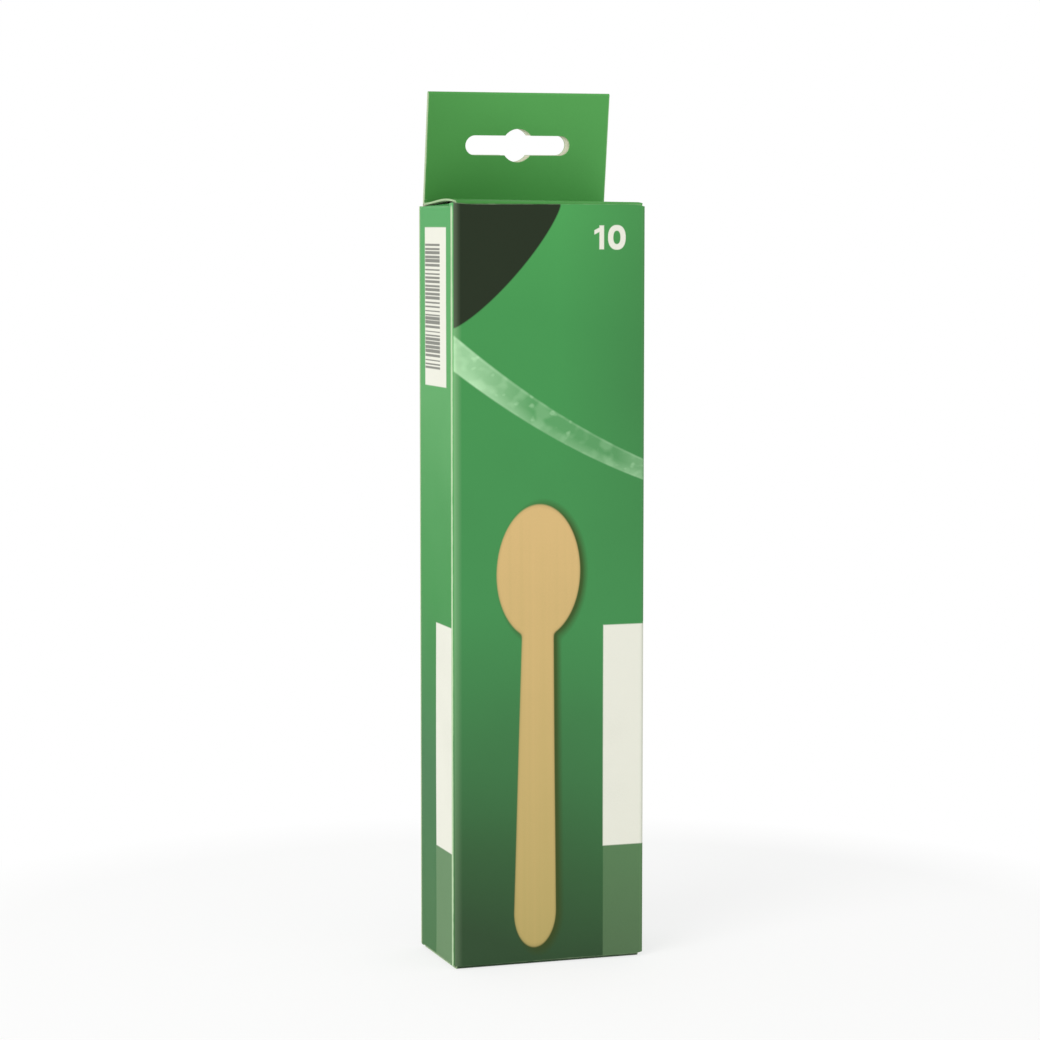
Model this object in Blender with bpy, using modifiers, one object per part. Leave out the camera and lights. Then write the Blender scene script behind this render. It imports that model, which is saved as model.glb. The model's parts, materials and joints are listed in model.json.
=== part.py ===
"""A folding carton of ten pressed wooden spoons, with a double hang tab.

The carton is one die-cut sheet of board. Four walls make a tube. The back wall runs on upwards into
the hang tab, which folds over to the front at its top edge and comes down again as a second ply.
From the foot of that ply the sheet runs forwards as the top lid, whose tuck goes down behind the
front wall. The bottom lid is hinged on the back wall in the same way. The spoons stand nested in
the tube on the bottom lid, with the backs of their bowls to the front.

Metres, +Z up, X across the front wall, -Y out of the front. The origin is the middle of the
footprint, on the surface that the carton stands on.
"""

import math

import bmesh
import bpy
from mathutils import Matrix, Vector

# Wooden spoons
SPOON_COUNT = 10
SPOON_LENGTH = 0.160
BOWL_WIDTH = 0.033
BOWL_TIP_LENGTH = 0.0268  # from the tip to the widest place
BOWL_HEEL_LENGTH = 0.0210  # from the widest place to where the oval would close
BOWL_DEPTH = 0.0050
NECK_WIDTH = 0.0125
HANDLE_WIDTH = 0.0155
HANDLE_CAMBER = 0.0005
VENEER = 0.0014
NEST_GAP = 0.0003

# Board
BOARD = 0.00042
FOLD_RADIUS = 0.0007

# Room between the spoons and the walls
SIDE_ROOM = 0.00578
FRONT_ROOM = 0.0004
BACK_ROOM = 0.0009
HEAD_ROOM = 0.0101
SEAT_GAP = 0.0003

# Dust flaps and glue flap
DUST_FLAP_LENGTH = 0.017
DUST_FLAP_SETBACK = 0.0024  # from the outside of the front and back walls
DUST_FLAP_TAPER = 0.0020
DUST_FLAP_CORNER = 0.0030
GLUE_FLAP_WIDTH = 0.012
GLUE_FLAP_END_GAP = 0.004
GLUE_LAP = 0.00005  # how far the glued faces run into each other

# Hang tab and its slot
TAB_HEIGHT = 0.0261
TAB_INSET = 0.0010
TAB_LEAN = math.radians(8.3)
PLY_GAP = 0.0002
TAB_FOOT_GAP = 0.0003
SLOT_LENGTH = 0.0250
SLOT_HEIGHT = 0.0045
SLOT_HUMP_DIAMETER = 0.0079
SLOT_FROM_TAB_TOP = 0.0120
SLOT_SLIP = 0.0009  # how far the back ply's slot lies to the left of the front ply's

# Lids and tucks
LID_INSET = 0.0010
LID_GAP = 0.0003  # between a lid and the dust flaps
TUCK_GAP = 0.0003  # between a tuck and the front wall
TUCK_LENGTH = 0.0100
TUCK_LEAN = math.radians(14.0)
TUCK_FOLD_RADIUS = 0.0006
TUCK_CORNER = 0.0050
HINGE_GAP = 0.00045  # between the top lid and the foot of the tab
TOP_LID_RISE = 0.0005
TOP_LID_BOW = 0.00055
TOP_LID_BOW_SKEW = 1.6  # above 1, the crown of the bow lies nearer the front
WALL_FOOT = 0.0008  # how far the walls end above the bottom lid's outer face

# Facets
BOWL_TIP_ROWS = 6
BOWL_HEEL_ROWS = 6
HANDLE_ROWS = 4
HANDLE_END_ROWS = 5
SPOON_COLUMNS = 6
FOLD_SEGMENTS = 3
CORNER_SEGMENTS = 4
TAB_FOLD_SEGMENTS = 6
SLOT_ARC_SEGMENTS = 10
LID_ROWS = 8
NEAR = 0.00001  # points closer than this count as one place

# Sizes that follow from the ones above
STEEPEST_SLOPE = math.atan(math.pi * BOWL_DEPTH / BOWL_WIDTH)
NEST_PITCH = (VENEER + NEST_GAP) / math.cos(STEEPEST_SLOPE)
STACK_DEPTH = (SPOON_COUNT - 1) * NEST_PITCH + VENEER + BOWL_DEPTH
WIDTH = BOWL_WIDTH + 2 * (SIDE_ROOM + BOARD)
DEPTH = STACK_DEPTH + FRONT_ROOM + BACK_ROOM + 2 * BOARD
SPOON_FOOT = BOARD + SEAT_GAP
WALL_TOP = SPOON_FOOT + SPOON_LENGTH + HEAD_ROOM
FRONT_WALL_INSIDE = -DEPTH / 2 + BOARD
LID_WIDTH = WIDTH - 2 * LID_INSET
TAB_FOLD_RADIUS = BOARD + PLY_GAP / 2
TUCK_Y = FRONT_WALL_INSIDE + TUCK_GAP + BOARD / 2

# Directions in the leaning tab: up its face, and out of its back
TAB_UP = Vector((0, -math.sin(TAB_LEAN), math.cos(TAB_LEAN)))
TAB_OUT = Vector((0, math.cos(TAB_LEAN), math.sin(TAB_LEAN)))

# Joint axes, both along X
TOP_HINGE_Z = WALL_TOP + LID_GAP + BOARD / 2
TAB_FACE_RISE = (TOP_HINGE_Z - WALL_TOP + 2 * TAB_FOLD_RADIUS * TAB_OUT.z) / TAB_UP.z
TAB_FACE_Y = DEPTH / 2 + TAB_FACE_RISE * TAB_UP.y - 2 * TAB_FOLD_RADIUS * TAB_OUT.y
TOP_HINGE_Y = TAB_FACE_Y - HINGE_GAP
BOTTOM_HINGE_Y = DEPTH / 2 - BOARD / 2
BOTTOM_HINGE_Z = BOARD / 2

PRINTED_GREEN = (0.072, 0.305, 0.089, 1.0)
PALE_WOOD = (0.658, 0.474, 0.205, 1.0)


def clear_scene():
    for obj in list(bpy.data.objects):
        bpy.data.objects.remove(obj, do_unlink=True)


def new_collection(name, hidden=False):
    collection = bpy.data.collections.new(name)
    collection.hide_render = hidden
    bpy.context.scene.collection.children.link(collection)
    return collection


def principled(name, color, roughness):
    material = bpy.data.materials.new(name)
    material.use_nodes = True
    shader = material.node_tree.nodes["Principled BSDF"]
    shader.inputs["Base Color"].default_value = color
    shader.inputs["Roughness"].default_value = roughness
    shader.inputs["Metallic"].default_value = 0.0
    return material


def object_from(bm, name, collection, material=None):
    mesh = bpy.data.meshes.new(name)
    bm.to_mesh(mesh)
    bm.free()
    obj = bpy.data.objects.new(name, mesh)
    collection.objects.link(obj)
    if material:
        mesh.materials.append(material)
        mesh.shade_smooth()
        mesh.set_sharp_from_angle(angle=math.radians(40))
    return obj


def add_solidify(obj, thickness, offset):
    solidify = obj.modifiers.new("board thickness", "SOLIDIFY")
    solidify.thickness = thickness
    solidify.offset = offset
    solidify.use_even_offset = True
    solidify.use_quality_normals = True


def add_boolean(obj, tool, operation):
    boolean = obj.modifiers.new(tool.name, "BOOLEAN")
    boolean.operation = operation
    boolean.object = tool


def add_flat_shading_of_panels(obj):
    """Large faces keep their own normal, so that only the small faces of a fold look round."""
    weighted = obj.modifiers.new("panel normals", "WEIGHTED_NORMAL")
    weighted.weight = 100


def face_outwards(bm, middle):
    """Turns every face of an open folded sheet to the side away from the point in its middle."""
    bmesh.ops.recalc_face_normals(bm, faces=bm.faces)
    outward = sum(f.normal.dot(f.calc_center_median() - middle) * f.calc_area() for f in bm.faces)
    if outward < 0:
        bmesh.ops.reverse_faces(bm, faces=bm.faces)


def rim_edges(bm, test):
    """The open edges of the sheet whose middle passes the test."""
    found = []
    for edge in bm.edges:
        if edge.is_boundary and test((edge.verts[0].co + edge.verts[1].co) / 2):
            found.append(edge)
    return found


def extend(bm, edges, step):
    """Runs the sheet on from these edges by one step, and gives the new edges and their corners."""
    grown = bmesh.ops.extrude_edge_only(bm, edges=edges)["geom"]
    corners = [item for item in grown if isinstance(item, bmesh.types.BMVert)]
    bmesh.ops.translate(bm, verts=corners, vec=step)
    edges = [item for item in grown if isinstance(item, bmesh.types.BMEdge)]
    return [edge for edge in edges if all(end in corners for end in edge.verts)], corners


def slice_at(bm, place, normal):
    everything = bm.verts[:] + bm.edges[:] + bm.faces[:]
    bmesh.ops.bisect_plane(bm, geom=everything, plane_co=place, plane_no=normal)


def round_corners(bm, corners, radius):
    bmesh.ops.bevel(
        bm,
        geom=corners,
        offset=radius,
        segments=CORNER_SEGMENTS,
        profile=0.5,
        affect="VERTICES",
    )


def add_walls(bm):
    """The four walls as an open tube, with cuts where the tab and the dust flaps begin."""
    size = Matrix.Diagonal((WIDTH, DEPTH, WALL_TOP - WALL_FOOT, 1))
    middle = Matrix.Translation((0, 0, (WALL_TOP + WALL_FOOT) / 2))
    bmesh.ops.create_cube(bm, size=1, matrix=middle @ size)
    bm.normal_update()
    ends = [face for face in bm.faces if abs(face.normal.z) > 0.5]
    bmesh.ops.delete(bm, geom=ends, context="FACES_ONLY")
    for side in (-1, 1):
        slice_at(bm, (0, side * (DEPTH / 2 - DUST_FLAP_SETBACK), 0), (0, 1, 0))
        slice_at(bm, (side * (WIDTH / 2 - TAB_INSET), 0, 0), (1, 0, 0))


def add_dust_flaps(bm):
    """Two flaps at each end, folded flat inwards from the side walls, narrower at the free end."""
    half_depth = DEPTH / 2 - DUST_FLAP_SETBACK
    for side in (-1, 1):
        for level in (WALL_FOOT, WALL_TOP):

            def on_side_wall(place):
                return (
                    side * place.x > WIDTH / 2 - BOARD
                    and abs(place.z - level) < BOARD
                    and abs(place.y) < half_depth
                )

            step = Vector((-side * DUST_FLAP_LENGTH, 0, 0))
            _, corners = extend(bm, rim_edges(bm, on_side_wall), step)
            for corner in corners:
                corner.co.y -= math.copysign(DUST_FLAP_TAPER, corner.co.y)
            round_corners(bm, corners, DUST_FLAP_CORNER)


def tab_path():
    """Steps along the outside of the tab: up the back ply, round the fold, down the front ply."""
    straight = TAB_HEIGHT - TAB_FOLD_RADIUS
    points = [Vector((0, 0, 0)), TAB_UP * straight]
    centre = TAB_UP * straight - TAB_OUT * TAB_FOLD_RADIUS
    for index in range(1, TAB_FOLD_SEGMENTS + 1):
        angle = math.pi * index / TAB_FOLD_SEGMENTS
        turned = TAB_OUT * math.cos(angle) + TAB_UP * math.sin(angle)
        points.append(centre + turned * TAB_FOLD_RADIUS)
    points.append(points[-1] - TAB_UP * (straight - TAB_FOOT_GAP))
    return [b - a for a, b in zip(points, points[1:])]


def add_tab(bm):
    def on_back_wall(place):
        return (
            place.y > DEPTH / 2 - BOARD
            and place.z > WALL_TOP - BOARD
            and abs(place.x) < WIDTH / 2 - TAB_INSET
        )

    edges = rim_edges(bm, on_back_wall)
    for step in tab_path():
        edges, _ = extend(bm, edges, step)


def round_wall_folds(bm):
    """Rounds the four upright folds of the tube."""
    folds = []
    for edge in bm.edges:
        ends = [end.co for end in edge.verts]
        at_corner = all(
            abs(abs(end.x) - WIDTH / 2) < NEAR and abs(abs(end.y) - DEPTH / 2) < NEAR
            for end in ends
        )
        if at_corner and abs(ends[0].z - ends[1].z) > BOARD:
            folds.append(edge)
    bmesh.ops.bevel(
        bm,
        geom=folds,
        offset=FOLD_RADIUS,
        segments=FOLD_SEGMENTS,
        profile=0.5,
        affect="EDGES",
    )


def glue_flap(helpers):
    """The flap of the left wall that is glued to the inside of the back wall."""
    low = Vector((-WIDTH / 2 + BOARD - GLUE_LAP, DEPTH / 2 - 2 * BOARD, WALL_FOOT + GLUE_FLAP_END_GAP))
    high = Vector(
        (
            -WIDTH / 2 + BOARD + GLUE_FLAP_WIDTH,
            DEPTH / 2 - BOARD + GLUE_LAP,
            WALL_TOP - GLUE_FLAP_END_GAP,
        )
    )
    bm = bmesh.new()
    placed = Matrix.Translation((low + high) / 2) @ Matrix.Diagonal((*(high - low), 1))
    bmesh.ops.create_cube(bm, size=1, matrix=placed)
    return object_from(bm, "glue_flap_tool", helpers)


def slot_outline():
    """The slot's outline from its centre: round ends, and a round hump above and below."""
    end_radius = SLOT_HEIGHT / 2
    hump_radius = SLOT_HUMP_DIAMETER / 2
    end_x = SLOT_LENGTH / 2 - end_radius
    hump_start = math.asin(end_radius / hump_radius)
    points = []
    for side in (1, -1):
        for index in range(SLOT_ARC_SEGMENTS + 1):
            angle = -math.pi / 2 + math.pi * index / SLOT_ARC_SEGMENTS
            arc = (end_x + end_radius * math.cos(angle), end_radius * math.sin(angle))
            points.append((side * arc[0], side * arc[1]))
        for index in range(SLOT_ARC_SEGMENTS + 1):
            angle = hump_start + (math.pi - 2 * hump_start) * index / SLOT_ARC_SEGMENTS
            arc = (hump_radius * math.cos(angle), hump_radius * math.sin(angle))
            points.append((side * arc[0], side * arc[1]))
    return points


def slot_cutter(name, shift, towards, helpers):
    """A prism of the slot's outline from the gap between the plies out through one of them."""
    bm = bmesh.new()
    corners = [bm.verts.new((x + shift, 0, z)) for x, z in slot_outline()]
    face = bm.faces.new(corners)
    reach = 4 * (BOARD + PLY_GAP)
    solid = bmesh.ops.extrude_face_region(bm, geom=[face])["geom"]
    moved = [item for item in solid if isinstance(item, bmesh.types.BMVert)]
    bmesh.ops.translate(bm, verts=moved, vec=(0, towards * reach, 0))
    bmesh.ops.recalc_face_normals(bm, faces=bm.faces)
    cutter = object_from(bm, name, helpers)
    up_tab = TAB_UP * (TAB_HEIGHT - SLOT_FROM_TAB_TOP)
    cutter.location = Vector((0, DEPTH / 2, WALL_TOP)) + up_tab - TAB_OUT * TAB_FOLD_RADIUS
    cutter.rotation_euler = (TAB_LEAN, 0, 0)
    return cutter


def build_sleeve(parts, helpers, board):
    bm = bmesh.new()
    add_walls(bm)
    add_dust_flaps(bm)
    add_tab(bm)
    round_wall_folds(bm)
    face_outwards(bm, Vector((0, 0, WALL_TOP / 2)))
    sleeve = object_from(bm, "carton_sleeve", parts, board)
    add_solidify(sleeve, BOARD, -1)
    add_boolean(sleeve, glue_flap(helpers), "UNION")
    add_boolean(sleeve, slot_cutter("front_slot_tool", 0, -1, helpers), "DIFFERENCE")
    add_boolean(sleeve, slot_cutter("back_slot_tool", -SLOT_SLIP, 1, helpers), "DIFFERENCE")
    add_flat_shading_of_panels(sleeve)
    return sleeve


def tuck_profile(reach, height, up):
    """The fold and tuck at a lid's front, in the lid's own (y, z), at this reach and height."""
    points = []
    for index in range(FOLD_SEGMENTS + 1):
        angle = (math.pi / 2 - TUCK_LEAN) * index / FOLD_SEGMENTS
        y = -reach + TUCK_FOLD_RADIUS * (1 - math.sin(angle))
        z = height + up * TUCK_FOLD_RADIUS * (1 - math.cos(angle))
        points.append((y, z))
    y, z = points[-1]
    points.append((y + TUCK_LENGTH * math.sin(TUCK_LEAN), z + up * TUCK_LENGTH * math.cos(TUCK_LEAN)))
    return points


def top_lid_profile():
    """The lid rises a little from its hinge and is bowed upwards, with its crown near the front."""
    reach = TOP_HINGE_Y - TUCK_Y
    flat = reach - TUCK_FOLD_RADIUS
    points = []
    for index in range(LID_ROWS):
        share = index / LID_ROWS
        bow = TOP_LID_BOW * math.sin(math.pi * share**TOP_LID_BOW_SKEW)
        points.append((-flat * share, TOP_LID_RISE * share + bow))
    return points + tuck_profile(reach, TOP_LID_RISE, -1)


def bottom_lid_profile():
    return [(0, 0)] + tuck_profile(BOTTOM_HINGE_Y - TUCK_Y, 0, 1)


def build_lid(name, profile, hinge, parts, board):
    """Carries the profile across the carton's width, and rounds the tuck's free corners."""
    bm = bmesh.new()
    line = [bm.verts.new((-LID_WIDTH / 2, y, z)) for y, z in profile]
    edges = [bm.edges.new(pair) for pair in zip(line, line[1:])]
    _, far_side = extend(bm, edges, (LID_WIDTH, 0, 0))
    tip_z = profile[-1][1]
    tip = [end for end in far_side + line if abs(end.co.z - tip_z) < NEAR]
    tip = [end for end in tip if len(end.link_edges) == 2 and end.co.y < -BOARD]
    round_corners(bm, tip, TUCK_CORNER)
    lid = object_from(bm, name, parts, board)
    lid.location = hinge
    add_solidify(lid, BOARD, 0)
    add_flat_shading_of_panels(lid)
    return lid


def spoon_stations():
    """Distances from the spoon's tip at which its width is worked out, close where it turns."""
    quarter = math.pi / 2
    tip, heel, end = BOWL_TIP_LENGTH, BOWL_HEEL_LENGTH, HANDLE_WIDTH / 2
    stations = [tip * (1 - math.cos(quarter * i / BOWL_TIP_ROWS)) for i in range(BOWL_TIP_ROWS)]
    stations += [tip + heel * math.sin(quarter * i / BOWL_HEEL_ROWS) for i in range(BOWL_HEEL_ROWS + 1)]
    straight = SPOON_LENGTH - end - stations[-1]
    start = stations[-1]
    stations += [start + straight * i / HANDLE_ROWS for i in range(1, HANDLE_ROWS + 1)]
    start = stations[-1]
    stations += [
        start + end * math.sin(quarter * i / HANDLE_END_ROWS) for i in range(1, HANDLE_END_ROWS + 1)
    ]
    return stations


def bowl_half_width(station):
    length = BOWL_TIP_LENGTH if station < BOWL_TIP_LENGTH else BOWL_HEEL_LENGTH
    share = (station - BOWL_TIP_LENGTH) / length
    return BOWL_WIDTH / 2 * math.sqrt(max(0, 1 - share * share))


def handle_half_width(station):
    """From the neck, widening evenly, to a half-round end. It fades out inside the bowl."""
    neck = BOWL_TIP_LENGTH + BOWL_HEEL_LENGTH
    end_radius = HANDLE_WIDTH / 2
    end_start = SPOON_LENGTH - end_radius
    if station > end_start:
        return math.sqrt(max(0, end_radius**2 - (station - end_start) ** 2))
    widening = max(0, (station - neck) / (end_start - neck))
    fade = min(1, max(0, (station - BOWL_TIP_LENGTH) / (BOWL_HEEL_LENGTH / 2)))
    return fade * (NECK_WIDTH + (HANDLE_WIDTH - NECK_WIDTH) * widening) / 2


def half_width(station):
    """Bowl and handle joined by a fourth-power mean, which rounds the corner between them."""
    return (bowl_half_width(station) ** 4 + handle_half_width(station) ** 4) ** 0.25


def pressed_depth(x, station):
    """A cosine dish over the bowl's oval, and a slight camber across the handle."""
    length = BOWL_TIP_LENGTH if station < BOWL_TIP_LENGTH else BOWL_HEEL_LENGTH
    radius = math.hypot(x / (BOWL_WIDTH / 2), (station - BOWL_TIP_LENGTH) / length)
    dish = BOWL_DEPTH * (1 + math.cos(math.pi * min(radius, 1))) / 2
    along = min(1, max(0, (station - BOWL_TIP_LENGTH) / BOWL_HEEL_LENGTH))
    across = x / (HANDLE_WIDTH / 2)
    return dish + HANDLE_CAMBER * along * max(0, 1 - across * across)


def spoon_mesh(wood):
    """A grid whose rows are carried to the stations and whose columns share out the width."""
    stations = spoon_stations()
    rows = len(stations) - 1
    bm = bmesh.new()
    bmesh.ops.create_grid(bm, x_segments=SPOON_COLUMNS, y_segments=rows, size=1)
    for vert in bm.verts:
        station = stations[round((1 - vert.co.y) / 2 * rows)]
        x = vert.co.x * half_width(station)
        vert.co = (x, -pressed_depth(x, station), SPOON_LENGTH - station)
    bmesh.ops.remove_doubles(bm, verts=bm.verts, dist=VENEER / 100)
    mesh = bpy.data.meshes.new("pressed_spoon")
    bm.to_mesh(mesh)
    bm.free()
    mesh.materials.append(wood)
    mesh.shade_smooth()
    return mesh


def build_spoons(parts, wood):
    """Nested spoons, one pitch apart from front to back, standing on the bottom lid."""
    mesh = spoon_mesh(wood)
    first = FRONT_WALL_INSIDE + FRONT_ROOM + BOWL_DEPTH + VENEER / 2
    spoons = []
    for index in range(SPOON_COUNT):
        spoon = bpy.data.objects.new(f"spoon_{index + 1:02d}", mesh)
        spoon.location = (0, first + index * NEST_PITCH, SPOON_FOOT)
        add_solidify(spoon, VENEER, 0)
        parts.objects.link(spoon)
        spoons.append(spoon)
    return spoons


def build_pack():
    clear_scene()
    parts = new_collection("spoon_pack")
    helpers = new_collection("cutters", hidden=True)
    board = principled("printed_board", PRINTED_GREEN, 0.45)
    wood = principled("birch_veneer", PALE_WOOD, 0.6)

    frame = bpy.data.objects.new("pack_frame", None)
    parts.objects.link(frame)
    sleeve = build_sleeve(parts, helpers, board)
    top_hinge = (0, TOP_HINGE_Y, TOP_HINGE_Z)
    bottom_hinge = (0, BOTTOM_HINGE_Y, BOTTOM_HINGE_Z)
    top_lid = build_lid("top_lid", top_lid_profile(), top_hinge, parts, board)
    bottom_lid = build_lid("bottom_lid", bottom_lid_profile(), bottom_hinge, parts, board)
    spoons = build_spoons(parts, wood)
    for piece in [sleeve, top_lid, bottom_lid, *spoons]:
        piece.parent = frame
    for helper in helpers.objects:
        helper.hide_render = True
        helper.display_type = "WIRE"


build_pack()
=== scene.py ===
"""The looks of a printed folding carton with a hang tab and of the ten pressed spoons inside it.

The file is laid out as an add-on and is run as a script. Every board is a sheet: a grid of points for
its printed face, and a second grid one board's thickness behind it, closed all round by cut edges.
The print is drawn by nodes, in millimetres across and up each wall.

Metres, +Z up, X across the front wall, -Y out of the front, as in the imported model.
"""

import json
import math

import bpy
import numpy as np
from bpy.props import FloatProperty, FloatVectorProperty, IntProperty, PointerProperty
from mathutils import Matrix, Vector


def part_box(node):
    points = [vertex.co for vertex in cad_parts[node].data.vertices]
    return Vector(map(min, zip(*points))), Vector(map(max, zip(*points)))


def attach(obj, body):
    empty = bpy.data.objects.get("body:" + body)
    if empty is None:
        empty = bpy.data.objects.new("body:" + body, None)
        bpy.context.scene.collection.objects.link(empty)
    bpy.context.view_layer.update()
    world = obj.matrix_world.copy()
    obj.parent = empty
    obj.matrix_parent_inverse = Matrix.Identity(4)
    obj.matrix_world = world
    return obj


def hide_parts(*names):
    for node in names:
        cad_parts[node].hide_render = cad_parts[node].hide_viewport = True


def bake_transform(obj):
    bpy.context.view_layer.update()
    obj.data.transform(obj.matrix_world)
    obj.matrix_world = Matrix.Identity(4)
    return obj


bl_info = {
    "name": "Wooden cutlery carton",
    "version": (1, 0, 0),
    "blender": (4, 5, 0),
    "location": "3D View > Sidebar > Carton",
    "description": "Builds a printed folding carton with a hang tab and its pressed wooden spoons",
    "category": "Object",
}

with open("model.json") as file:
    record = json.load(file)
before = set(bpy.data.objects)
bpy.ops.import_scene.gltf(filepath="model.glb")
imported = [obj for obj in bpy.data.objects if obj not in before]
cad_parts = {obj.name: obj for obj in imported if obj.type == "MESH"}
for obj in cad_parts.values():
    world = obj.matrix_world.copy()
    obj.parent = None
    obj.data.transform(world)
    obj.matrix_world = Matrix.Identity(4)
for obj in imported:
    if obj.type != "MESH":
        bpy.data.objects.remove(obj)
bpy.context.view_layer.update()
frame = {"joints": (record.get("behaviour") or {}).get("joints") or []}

SLEEVE_LOW, SLEEVE_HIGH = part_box("carton_sleeve")
HINGES = {joint["name"]: joint["pos_m"] for joint in frame["joints"]}
MM = 0.001


def ink(red, green, blue):
    """A colour as it looks on paper, from 0 to 255, as the linear values that shaders take: the
    standard display curve, a straight start and then a power of 2.4."""
    shares = np.array([red, green, blue]) / 255
    curve = np.where(shares <= 0.04045, shares / 12.92, ((shares + 0.055) / 1.055) ** 2.4)
    return tuple(float(value) for value in curve)


def length(name, description, default):
    return FloatProperty(
        name=name, description=description, default=default, min=0, unit="LENGTH", precision=5
    )


def coordinate(name, description, default):
    return FloatProperty(
        name=name, description=description, default=default, unit="LENGTH", precision=5
    )


def angle(name, description, degrees):
    return FloatProperty(
        name=name, description=description, default=math.radians(degrees), subtype="ANGLE"
    )


def number(name, description, default, top):
    return FloatProperty(name=name, description=description, default=default, min=0, max=top)


def colour(name, description, red, green, blue):
    tint = ink(red, green, blue)
    return FloatVectorProperty(
        name=name, description=description, default=tint, min=0, max=1, subtype="COLOR"
    )


class BoardSizes(bpy.types.PropertyGroup):
    """Sizes of the folded board."""

    width: length("Width", "Across the front wall", SLEEVE_HIGH.x - SLEEVE_LOW.x)
    depth: length("Depth", "From front wall to back wall", SLEEVE_HIGH.y - SLEEVE_LOW.y)
    foot: length("Wall foot", "Height at which the walls end above the shelf", SLEEVE_LOW.z)
    wall_top: length("Wall top", "Height of the walls' upper edge", 0.17082)
    front_rise: length("Front rise", "How much higher the front wall's upper edge is", 0.0004)
    corner_tip: length("Corner tip", "How much the corner under the open lid edge stands up", 0.0003)
    board: length("Board", "Thickness of the board", 0.00042)
    fold_radius: length("Fold radius", "Outer radius of the upright folds", 0.0007)
    front_fold: length("Front fold", "Outer radius of the worn fold at the front left", 0.0011)
    flap_radius: length("Flap radius", "Outer radius of the fold of a dust flap", 0.0006)
    flap_length: length("Dust flap", "How far a dust flap reaches inwards", 0.017)
    flap_setback: length("Flap setback", "From the front and back walls to a dust flap", 0.0024)
    flap_taper: length("Flap taper", "How much a dust flap narrows on each side", 0.0020)
    flap_corner: length("Flap corner", "Radius of a dust flap's free corners", 0.0030)
    flap_droop: length("Flap droop", "How far a dust flap's free end hangs down", 0.00025)
    flap_spring: length("Flap spring", "How far the flap under the open lid edge bulges up", 0.00030)
    glue_width: length("Glue flap", "Width of the glued flap", 0.012)
    glue_gap: length("Glue flap gap", "From the wall's ends to the glued flap", 0.004)
    seam: length("Seam", "How far the back wall's cut edge stops short of the corner", 0.00015)
    dent: length("Dent", "Deepest place of the soft waves in the walls", 0.00014)
    tab_height: length("Tab height", "Length of the hang tab along its face", 0.0261)
    tab_inset: length("Tab inset", "How much narrower the tab is on each side", 0.0010)
    tab_lean: angle("Tab lean", "How far the tab leans forwards", 8.3)
    tab_bow: length("Tab bow", "How far the tab's plies bow", 0.00012)
    ply_gap: length("Ply gap", "Between the tab's two plies", 0.0002)
    slot_length: length("Slot length", "Length of the hang slot", 0.0250)
    slot_height: length("Slot height", "Height of the hang slot", 0.0045)
    slot_hump: length("Slot hump", "Diameter of the round hump of the slot", 0.0076)
    slot_drop: length("Slot drop", "From the tab's top to the middle of the slot", 0.0120)
    slot_slip: length("Slot slip", "How far the back ply's slot lies to the left", 0.0009)
    lid_inset: length("Lid inset", "How much narrower a lid is on each side", 0.0010)
    lid_slip: length("Lid slip", "How much wider the top lid is on its right side", 0.0009)
    lid_curl: length("Lid curl", "How far the top lid's right edge curls down", 0.00025)
    lid_start: length("Lid start", "From the hinge to where the top lid's own board starts", 0.00035)
    lid_rise: length("Lid rise", "How much higher the top lid is at its front", 0.0005)
    lid_fall: length("Lid fall", "How much lower the top lid lies at its front right", 0.00035)
    lid_bow: length("Lid bow", "How far the top lid is bowed up", 0.00055)
    tuck_gap: length("Tuck gap", "Between a tuck and the front wall", 0.0003)
    tuck_length: length("Tuck length", "Length of a lid's tuck", 0.0100)
    tuck_lean: angle("Tuck lean", "How far a tuck leans inwards", 14)
    tuck_radius: length("Tuck fold", "Radius of the fold between a lid and its tuck", 0.0006)
    tuck_corner: length("Tuck corner", "Radius of a tuck's free corners", 0.0050)
    valley: length("Valley", "Radius of the crease between the tab and the top lid", 0.0003)
    valley_start: length("Crease start", "Height up the tab where the crease starts", 0.0016)
    worn_width: length("Worn width", "Half width of the worn line along a fold", 0.00024)


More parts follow.
